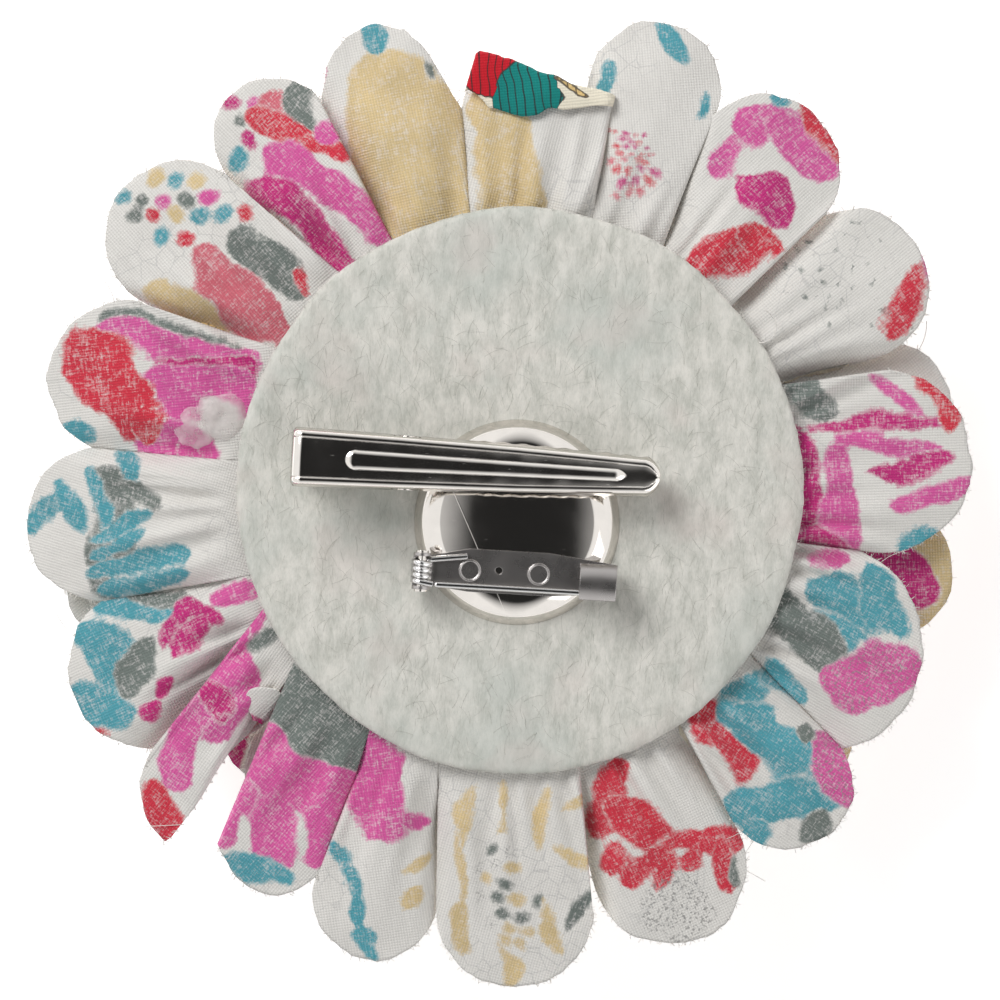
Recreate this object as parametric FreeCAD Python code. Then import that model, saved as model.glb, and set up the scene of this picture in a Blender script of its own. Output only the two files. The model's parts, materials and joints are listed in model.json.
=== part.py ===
"""Fabric flower with a felt back that carries a combined bar pin and alligator clip.

The flower lies face down: +Z points out of its back, +X runs along the clip from the tail to the
jaws' tip, and the origin is on the ground under the middle of the flower's outline.
Lengths are in millimetres and angles in degrees.
"""
import FreeCAD, Part
import math
import os

from FreeCAD import Vector

# ---- driving dimensions ----
felt_back_z = 27.0  # height of the felt's outer face above the ground
felt_diameter = 70.0
felt_thickness = 1.2
felt_x, felt_y = 2.6, 1.4

petal_thickness = 0.8
hub_radius = 4.0  # hole that the gathering thread leaves in the middle of each layer

pad_x, pad_y = 2.5, -2.5  # centre of the round metal pad, which carries pin and clip
pad_radius = 12.7
pad_flat_radius = 9.5
pad_height = 2.0
sheet = 0.5  # thickness of all the sheet metal

bar_y = -6.5  # the pin bar's centre line, from the pad's centre
bar_half_length = 12.7
pin_wire = 0.75
coil_turns = 3.5
coil_mean_radius = 0.925
coil_x = -11.4
stem_tip_x = 12.1

clip_y = 6.5  # the clip's centre line, from the pad's centre
clip_tail_x, clip_tip_x = -27.7, 16.9
pivot_x = -14.0
pivot_rise = 3.0  # pivot axis above the pad's top
mate_rise = 2.1  # line where the jaws' teeth meet, above the pad's top
jaw_gap = 0.1
tooth_pitch = 2.55
tooth_count = 8
clip_wire = 0.7

cushion_radius = 12.5
cushion_depth = 9.6
cushion_skin = 0.9

pad_top_z = felt_back_z + pad_height
bar_top_z = pad_top_z + sheet
coil_z = bar_top_z + coil_mean_radius + pin_wire / 2 + 0.05
stem_z = coil_z + coil_mean_radius

# Back layer, petal by petal and anticlockwise from behind: the angle and reach of each rounded
# tip, then the angle and radius of the notch that follows it.
back_petals = [
    (5.8, 58.6, 18, 50), (32.2, 60.5, 44.5, 54), (56.5, 62.5, 66, 57), (73, 63.3, 79, 56),
    (88, 54, 98.5, 49), (106.5, 61.3, 117.2, 54.4), (125.9, 60.5, 132, 51.5), (144, 60.9, 154, 48),
    (167, 58.3, 176, 45), (187, 58.9, 197.5, 51), (211, 58, 219, 53), (228, 59.5, 234, 55),
    (241.5, 57, 248, 47.5), (258.7, 59, 264.5, 48.7), (275.2, 60.6, 287, 49),
    (294.4, 59.3, 309.7, 49.5), (319, 58.5, 327.6, 53), (340, 56.8, 355.7, 45),
]


# ---- helpers ----
def polar(radius, angle, z=0.0):
    turn = math.radians(angle)
    return Vector(radius * math.cos(turn), radius * math.sin(turn), z)


def face_of(edges):
    return Part.Face(Part.Wire(edges))


def polygon_face(points):
    return Part.Face(Part.makePolygon(points + [points[0]]))


def side_prism(outline, half_width):
    """A solid from an outline of (x, z) points, centred on y = 0."""
    points = [Vector(x, -half_width, z) for x, z in outline]
    return polygon_face(points).extrude(Vector(0, 2 * half_width, 0))


def cross_bar(x, y, z, radius, length):
    """A round bar along Y, centred on (x, y, z)."""
    start = Vector(x, y - length / 2, z)
    return Part.makeCylinder(radius, length, start, Vector(0, 1, 0))


def coil_spring(radius, wire, pitch, turns, legs):
    """A coil round +Z whose two straight legs, of the given lengths, both leave towards -Y."""
    slope = pitch / (2 * math.pi * radius)
    helix = Part.Wire(Part.makeHelix(pitch, pitch * turns, radius).Edges)
    start = Vector(radius, 0, 0)
    ring = Part.Wire(Part.makeCircle(wire / 2, start, Vector(0, 1, slope)))
    coil = helix.makePipeShell([ring], True, True)
    angle = 360.0 * turns
    end = polar(radius, angle, pitch * turns)
    heading = polar(1, angle + 90, slope)
    first = Part.makeCylinder(wire / 2, legs[0], start, Vector(0, -1, -slope))
    last = Part.makeCylinder(wire / 2, legs[1], end, heading)
    return coil.fuse([first, last])


def turned(shape, new_x, new_y):
    """Turn a shape so that its own X and Y axes point along two given directions."""
    new_z = new_x.cross(new_y)
    matrix = FreeCAD.Matrix(
        new_x.x, new_y.x, new_z.x, 0, new_x.y, new_y.y, new_z.y, 0, new_x.z, new_y.z, new_z.z, 0)
    placed = shape.copy()
    placed.Placement = FreeCAD.Placement(matrix).multiply(shape.Placement)
    return placed


def save(name, shape):
    shape.removeSplitter().exportStep(f"parts/{name}.step")


# ---- petals ----
def scalloped_prism(petals, z, height):
    """A scalloped block: a polygon through the notches, and one round lobe for each petal."""
    notches = [polar(radius, angle, z) for tip_angle, reach, angle, radius in petals]
    up = Vector(0, 0, height)
    block = polygon_face(notches).extrude(up)
    lobes = []
    for i, (tip_angle, reach, notch_angle, notch_radius) in enumerate(petals):
        start, end = notches[i - 1], notches[i]
        lobe = face_of([
            Part.Arc(start, polar(reach, tip_angle, z), end).toShape(),
            Part.makeLine(end, start),
        ])
        lobes.append(lobe.extrude(up))
    return block.fuse(lobes).removeSplitter()


def petal_layer(petals, rim):
    """A thin domed sheet through three (radius, height) points, cut to a scalloped edge."""
    top = [Vector(radius, 0, height) for radius, height in rim]
    drop = Vector(0, 0, -petal_thickness)
    low = [point + drop for point in top]
    section = face_of([
        Part.Arc(*top).toShape(),
        Part.makeLine(top[2], low[2]),
        Part.Arc(*low).toShape(),
        Part.makeLine(low[0], top[0]),
    ])
    dome = section.revolve(Vector(0, 0, 0), Vector(0, 0, 1), 360)
    return dome.common(scalloped_prism(petals, -5, 40))


def even_petals(count, reach, notch_radius, phase):
    step = 360.0 / count
    return [(phase + i * step, reach, phase + (i + 0.5) * step, notch_radius) for i in range(count)]


def build_petals():
    save("petal_layer_1", petal_layer(back_petals, [(hub_radius, 25.5), (34, 24.6), (66, 19.6)]))
    save("petal_layer_2", petal_layer(
        even_petals(18, 58.3, 50, 17), [(hub_radius, 22.4), (33, 20.6), (62, 14.6)]))
    save("petal_layer_3", petal_layer(
        even_petals(16, 50, 42, 4), [(hub_radius, 19.2), (28, 16.2), (52, 8.6)]))
    save("petal_layer_4", petal_layer(
        even_petals(14, 40, 33, 11), [(hub_radius, 16.0), (22, 12.4), (42, 3.4)]))
    save("petal_layer_5", petal_layer(
        even_petals(11, 28.5, 23, 0), [(hub_radius, 12.8), (16, 10.6), (30, 1.8)]))


def build_gathering_thread():
    """A closed loop of doubled thread that passes down and up through the layers' holes."""
    half, top, bottom, radius = 2.0, 24.6, 11.0, 0.4
    high = Vector(0, 0, top - half)
    low = Vector(0, 0, bottom + half)
    side = Vector(half, 0, 0)
    up = Vector(0, 0, half)
    loop = Part.Wire([
        Part.makeLine(low + side, high + side),
        Part.Arc(high + side, high + up, high - side).toShape(),
        Part.makeLine(high - side, low - side),
        Part.Arc(low - side, low - up, low + side).toShape(),
    ])
    ring = Part.Wire(Part.makeCircle(radius, low + side, Vector(0, 0, 1)))
    save("gathering_thread", loop.makePipeShell([ring], True, False))


def dome(radius, depth, base_z):
    """A spherical cap that hangs from base_z down to base_z - depth."""
    ball_radius = (radius**2 + depth**2) / (2 * depth)
    centre = Vector(0, 0, base_z - depth + ball_radius)
    slab = Part.makeCylinder(radius * 2, depth, Vector(0, 0, base_z - depth))
    return Part.makeSphere(ball_radius, centre).common(slab)


def build_cushion():
    card_thickness = 0.8
    card_z = cushion_depth - card_thickness
    inner_radius = cushion_radius - cushion_skin
    filling = dome(inner_radius, card_z - cushion_skin, card_z)
    card = Part.makeCylinder(inner_radius, card_thickness, Vector(0, 0, card_z))
    save("cushion_cover", dome(cushion_radius, cushion_depth, cushion_depth).cut(filling).cut(card))
    save("cushion_filling", filling)
    save("cushion_card", card)


def build_felt():
    centre = Vector(felt_x, felt_y, felt_back_z - felt_thickness)
    save("felt_backing", Part.makeCylinder(felt_diameter / 2, felt_thickness, centre))


# ---- round metal pad ----
def pad_section(shrink):
    """Half section of the pad's outside, or of its hollow when shrunk by the sheet."""
    curl = 3.56 - shrink  # radius of the rounded rim
    centre_z = felt_back_z + pad_height - 3.56
    top = Vector(pad_flat_radius, 0, centre_z + curl)
    sink = felt_back_z - centre_z
    foot = Vector(pad_flat_radius + math.sqrt(curl**2 - sink**2), 0, felt_back_z)
    lean = math.radians(60)
    middle = Vector(pad_flat_radius + curl * math.cos(lean), 0, centre_z + curl * math.sin(lean))
    return face_of([
        Part.makeLine(Vector(0, 0, felt_back_z), Vector(0, 0, top.z)),
        Part.makeLine(Vector(0, 0, top.z), top),
        Part.Arc(top, middle, foot).toShape(),
        Part.makeLine(foot, Vector(0, 0, felt_back_z)),
    ])


def on_pad(shape):
    """Move a shape drawn about the pad's centre to its place."""
    shape.translate(Vector(pad_x, pad_y, 0))
    return shape


def build_pad():
    axis = (Vector(0, 0, 0), Vector(0, 0, 1), 360)
    pad = pad_section(0).revolve(*axis).cut(pad_section(sheet).revolve(*axis))
    save("metal_pad", on_pad(pad))
    glue_height = pad_height - sheet
    glue = Part.makeCylinder(pad_flat_radius, glue_height, Vector(0, 0, felt_back_z))
    save("glue_pad", on_pad(glue))


# ---- bar pin ----
coil_pitch = pin_wire + 0.02
coil_length = coil_pitch * coil_turns + pin_wire
coil_middle_y = -6.65
coil_start_y = coil_middle_y + coil_pitch * coil_turns / 2
ear_sheet = 0.4
ear_inner = coil_length / 2 + 0.12
rivet_radius = coil_mean_radius - pin_wire / 2 - 0.05
lead_slope = coil_pitch / (2 * math.pi * coil_mean_radius)
lead_length = 1.5
stem_start_x = coil_x + lead_length + pin_wire / 2 + 0.12
stem_y = coil_start_y - coil_pitch * coil_turns - lead_slope * lead_length
catch_x = (8.1, 12.6)
catch_back_y = -4.6
lip_y = stem_y - 0.85
lip_rise = 1.1  # lower edge of the catch's lip above the stem's centre line


def bar_plate():
    left, right = -bar_half_length, bar_half_length
    outline = [
        (left, -5.2), (-5.6, -3.6), (4.2, -3.6), (right, -4.6), (right, -8.2),
        (4.2, -8.9), (-5.6, -8.9), (left, -8.1),
    ]
    points = [Vector(x, y, pad_top_z) for x, y in outline]
    plate = polygon_face(points).extrude(Vector(0, 0, sheet))
    for x in (-5.3, 2.8):
        plate = plate.cut(Part.makeSphere(3.0, Vector(x, -6.2, bar_top_z + 2.75)))
    hole = Part.makeCylinder(0.45, 2, Vector(-1.9, -6.1, pad_top_z - 0.5))
    return plate.cut(hole)


def bar_ears():
    """Two rounded ears that hold the rivet, on a wider foot."""
    ear_radius = 1.1
    low_y = coil_middle_y - ear_inner - ear_sheet
    width = 2 * (ear_inner + ear_sheet)
    corner = Vector(coil_x - ear_radius, low_y, pad_top_z)
    ears = Part.makeBox(2 * ear_radius, width, sheet, corner)
    for y in (low_y, coil_middle_y + ear_inner):
        post = Part.makeBox(
            2 * ear_radius, ear_sheet, coil_z - pad_top_z, Vector(coil_x - ear_radius, y, pad_top_z))
        head = cross_bar(coil_x, y + ear_sheet / 2, coil_z, ear_radius, ear_sheet)
        ears = ears.fuse(post.fuse(head))
    return ears.cut(cross_bar(coil_x, coil_middle_y, coil_z, rivet_radius, width + 1))


def bar_catch():
    """A hooked roof over the stem's end, open below and towards -Y."""
    back, front = catch_back_y, lip_y
    shoulder_z = stem_z + 0.7
    crown = Vector(0, (back + front) / 2 - 0.4, stem_z + 2.0)
    lip_z = stem_z + lip_rise
    inner_crown = crown - Vector(0, 0, sheet)
    outside = Part.Arc(Vector(0, back, shoulder_z), crown, Vector(0, front, lip_z)).toShape()
    inside = Part.Arc(
        Vector(0, front + sheet * 0.6, lip_z), inner_crown, Vector(0, back - sheet, shoulder_z))
    section = face_of([
        Part.makeLine(Vector(0, back, pad_top_z), Vector(0, back, shoulder_z)),
        outside,
        Part.makeLine(Vector(0, front, lip_z), Vector(0, front + sheet * 0.6, lip_z)),
        inside.toShape(),
        Part.makeLine(Vector(0, back - sheet, shoulder_z), Vector(0, back - sheet, pad_top_z)),
        Part.makeLine(Vector(0, back - sheet, pad_top_z), Vector(0, back, pad_top_z)),
    ])
    section.translate(Vector(catch_x[0], 0, 0))
    return section.extrude(Vector(catch_x[1] - catch_x[0], 0, 0))


def build_pin():
    base = bar_plate().fuse(bar_ears()).fuse(bar_catch())
    save("pin_base_bar", on_pad(base))

    ear_span = 2 * (ear_inner + ear_sheet)
    rivet = cross_bar(coil_x, coil_middle_y, coil_z, rivet_radius, ear_span)
    for side in (-1, 1):
        head_y = coil_middle_y + side * (ear_span / 2 + 0.15)
        rivet = rivet.fuse(cross_bar(coil_x, head_y, coil_z, 0.8, 0.3))
    save("pin_hinge_rivet", on_pad(rivet))

    coil = coil_spring(coil_mean_radius, pin_wire, coil_pitch, coil_turns, (5.6, lead_length))
    coil = turned(coil.mirror(Vector(0, 0, 0), Vector(1, 0, 0)), Vector(0, 0, 1), Vector(-1, 0, 0))
    coil.translate(Vector(coil_x, coil_start_y, coil_z))
    save("pin_spring_coil", on_pad(coil))

    radius = pin_wire / 2
    point_length = stem_tip_x - catch_x[0]
    start = Vector(stem_start_x, stem_y, stem_z)
    along = Vector(1, 0, 0)
    shank = Part.makeCylinder(radius, stem_tip_x - point_length - stem_start_x, start, along)
    point = Part.makeCone(
        radius, 0.08, point_length, Vector(stem_tip_x - point_length, stem_y, stem_z), along)
    save("pin_stem", on_pad(Part.makeSphere(radius, start).fuse([shank, point])))


# ---- alligator clip ----
pivot_z = pad_top_z + pivot_rise
mate_z = pad_top_z + mate_rise
ear_radius = 1.6
hinge_radius = 0.75


def blade_wire(tail, pivot, tip, z):
    """Plan outline of a jaw at height z, given its half widths. The tip is rounded."""
    shoulder_x = clip_tip_x - tip
    corners = [(clip_tail_x, tail), (pivot_x, pivot), (shoulder_x, tip)]
    upper = [Vector(x, y, z) for x, y in corners]
    lower = [Vector(x, -y, z) for x, y in corners]
    return Part.Wire([
        Part.makeLine(lower[0], lower[1]),
        Part.makeLine(lower[1], lower[2]),
        Part.Arc(lower[2], Vector(clip_tip_x, 0, z), upper[2]).toShape(),
        Part.makeLine(upper[2], upper[1]),
        Part.makeLine(upper[1], upper[0]),
        Part.makeLine(upper[0], lower[0]),
    ])


def inset_wire(halves, z):
    """The same outline, one sheet thickness inside."""
    tail, pivot, tip = (half - sheet for half in halves)
    wire = blade_wire(tail, pivot, tip, z)
    scale = (clip_tip_x - clip_tail_x - 2 * sheet) / (clip_tip_x - clip_tail_x)
    shrink = FreeCAD.Matrix()
    shrink.scale(scale, 1, 1)
    middle = (clip_tip_x + clip_tail_x) / 2
    wire.translate(Vector(-middle, 0, 0))
    wire = wire.transformGeometry(shrink)
    wire.translate(Vector(middle, 0, 0))
    return wire


def teeth(z, offset):
    """Round notches across the jaw, at tooth pitch."""
    first_x = -4.0 + offset
    bars = [cross_bar(first_x + i * tooth_pitch, 0, z, 0.8, 12) for i in range(tooth_count)]
    return bars[0].fuse(bars[1:])


def upper_jaw():
    low_halves, high_halves = (3.0, 2.95, 2.1), (2.7, 2.7, 1.2)
    low_z, high_z = mate_z - 1.2, mate_z + 6.0
    body = Part.makeLoft(
        [blade_wire(*low_halves, low_z), blade_wire(*high_halves, high_z)], True, True)
    hollow = Part.makeLoft(
        [inset_wire(low_halves, low_z), inset_wire(high_halves, high_z)], True, True)

    lower_edge = mate_z + jaw_gap
    top = [(clip_tip_x, mate_z + 1.5), (pivot_x, mate_z + 4.0), (clip_tail_x, mate_z + 5.1)]
    skirt = [
        (clip_tail_x, mate_z + 3.1), (pivot_x - 3.5, mate_z + 2.2), (pivot_x - ear_radius, pivot_z),
        (pivot_x + ear_radius, pivot_z), (pivot_x + 4.5, mate_z + 2.0), (-5.6, lower_edge),
        (clip_tip_x, lower_edge),
    ]
    profile = side_prism(top + skirt, 4)
    ears = cross_bar(pivot_x, 0, pivot_z, ear_radius, 8)
    inside_top = [(x, z - sheet) for x, z in top]
    floor = [(clip_tail_x, low_z), (clip_tip_x, low_z)]
    cavity = hollow.common(side_prism(inside_top + floor, 4))
    jaw = body.common(profile.fuse(ears)).cut(cavity).cut(teeth(lower_edge, 0))

    rib_half = 0.85
    rib_ends = (-21.0, 12.5)
    rib_height = 0.35
    rib_plan = Part.makeBox(rib_ends[1] - rib_ends[0], 2 * rib_half, 20,
                            Vector(rib_ends[0], -rib_half, mate_z))
    for x in rib_ends:
        rib_plan = rib_plan.fuse(Part.makeCylinder(rib_half, 20, Vector(x, 0, mate_z)))
    raised = [(x, z + rib_height) for x, z in top]
    rib_band = side_prism(raised + [(x, z - sheet / 2) for x, z in reversed(top)], 4)
    jaw = jaw.fuse(rib_plan.common(rib_band))
    return jaw.cut(cross_bar(pivot_x, 0, pivot_z, hinge_radius + 0.05, 8))


def lower_jaw():
    halves = (2.3, 2.2, 1.4)
    top_z = pivot_z + ear_radius + 1
    body = Part.Face(blade_wire(*halves, pad_top_z)).extrude(Vector(0, 0, top_z - pad_top_z))
    hollow = Part.Face(inset_wire(halves, pad_top_z + sheet)).extrude(Vector(0, 0, top_z))
    rail = pad_top_z + 1.2
    profile = side_prism([
        (clip_tail_x, pad_top_z), (clip_tail_x, rail), (pivot_x - 3.5, rail),
        (pivot_x - ear_radius, pivot_z), (pivot_x + ear_radius, pivot_z), (pivot_x + 4.0, rail),
        (-6.5, rail), (-5.6, mate_z), (clip_tip_x, mate_z), (clip_tip_x, pad_top_z),
    ], 4)
    ears = cross_bar(pivot_x, 0, pivot_z, ear_radius, 8)
    jaw = body.common(profile.fuse(ears)).cut(hollow).cut(teeth(mate_z, tooth_pitch / 2))
    return jaw.cut(cross_bar(pivot_x, 0, pivot_z, hinge_radius, 8))


def on_clip_line(shape):
    shape.translate(Vector(0, clip_y, 0))
    return on_pad(shape)


def build_clip():
    save("clip_upper_jaw", on_clip_line(upper_jaw()))
    save("clip_lower_jaw", on_clip_line(lower_jaw()))

    hinge_half = 3.05
    pin = cross_bar(pivot_x, 0, pivot_z, hinge_radius, 2 * hinge_half)
    for side in (-1, 1):
        pin = pin.fuse(cross_bar(pivot_x, side * (hinge_half + 0.15), pivot_z, 1.1, 0.3))
    save("clip_hinge_pin", on_clip_line(pin))

    # Both legs of the spring run to the tail: one bears on the lower jaw, one on the upper.
    radius = hinge_radius + clip_wire / 2 + 0.15
    pitch = clip_wire + 0.05
    lower_tilt, upper_tilt = 7.0, 13.0
    turns = 2.5 - (lower_tilt + upper_tilt) / 360
    spring = coil_spring(radius, clip_wire, pitch, turns, (5.0, 5.0))
    spring.rotate(Vector(0, 0, 0), Vector(0, 0, 1), lower_tilt)
    spring = turned(spring, Vector(0, 0, -1), Vector(1, 0, 0))
    spring.translate(Vector(pivot_x, pitch * turns / 2, pivot_z))
    save("clip_spring", on_clip_line(spring))


os.makedirs("parts", exist_ok=True)
build_petals()
build_gathering_thread()
build_cushion()
build_felt()
build_pad()
build_pin()
build_clip()
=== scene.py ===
"""Looks of the fabric flower: printed cotton petals, felt back and nickel-plated pin and clip.

Everything is in metres in the CAD frame: +Z out of the flower's back, +X along clip and pin.
Sizes below are in millimetres and scaled by MM; angles are in degrees, anticlockwise from +X.
"""
import json
import math

import bpy
import numpy as np
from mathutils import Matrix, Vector, noise


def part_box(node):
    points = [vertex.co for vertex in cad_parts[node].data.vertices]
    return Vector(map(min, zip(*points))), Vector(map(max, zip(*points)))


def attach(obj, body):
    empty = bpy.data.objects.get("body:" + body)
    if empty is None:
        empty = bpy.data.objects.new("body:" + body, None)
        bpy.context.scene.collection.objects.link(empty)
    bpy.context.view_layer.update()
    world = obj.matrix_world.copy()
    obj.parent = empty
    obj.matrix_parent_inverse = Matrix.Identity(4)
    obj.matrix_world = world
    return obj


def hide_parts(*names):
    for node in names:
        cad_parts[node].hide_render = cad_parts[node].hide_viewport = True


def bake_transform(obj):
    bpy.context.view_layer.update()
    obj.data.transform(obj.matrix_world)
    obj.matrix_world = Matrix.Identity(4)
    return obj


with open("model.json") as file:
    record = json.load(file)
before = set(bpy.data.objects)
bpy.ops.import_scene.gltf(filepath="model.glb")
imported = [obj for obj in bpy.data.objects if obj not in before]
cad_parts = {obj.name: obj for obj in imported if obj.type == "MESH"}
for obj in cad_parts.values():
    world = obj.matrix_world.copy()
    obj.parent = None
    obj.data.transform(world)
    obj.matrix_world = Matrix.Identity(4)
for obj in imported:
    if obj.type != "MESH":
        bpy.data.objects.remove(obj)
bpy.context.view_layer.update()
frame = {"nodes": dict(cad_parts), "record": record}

MM = 0.001
rng = np.random.default_rng(11)

# Seams between neighbouring back petals, one after each petal anticlockwise from the petal
# that crosses +X: the angle of the notch at its outer end, the angle where it leaves the felt,
# and which neighbour lies on top ("first" is the one before the seam, "second" the one after,
# "soft" is an uncut valley).
BACK_SEAMS = [
    (18, 29.5, "first"), (44.5, 42, "second"), (66, 56, "soft"), (79, 72.4, "second"),
    (98.5, 99, "soft"), (117.2, 114.5, "second"), (132, 125.7, "second"),
    (154, 146.8, "second"), (176, 174.3, "soft"), (197.5, 200.6, "soft"), (219, 206, "second"),
    (234, 219.2, "second"), (248, 243, "soft"), (264.5, 259, "soft"), (287, 292.2, "first"),
    (309.7, 314.5, "second"), (327.6, 335.4, "soft"), (355.7, 355, "soft"),
]

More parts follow.
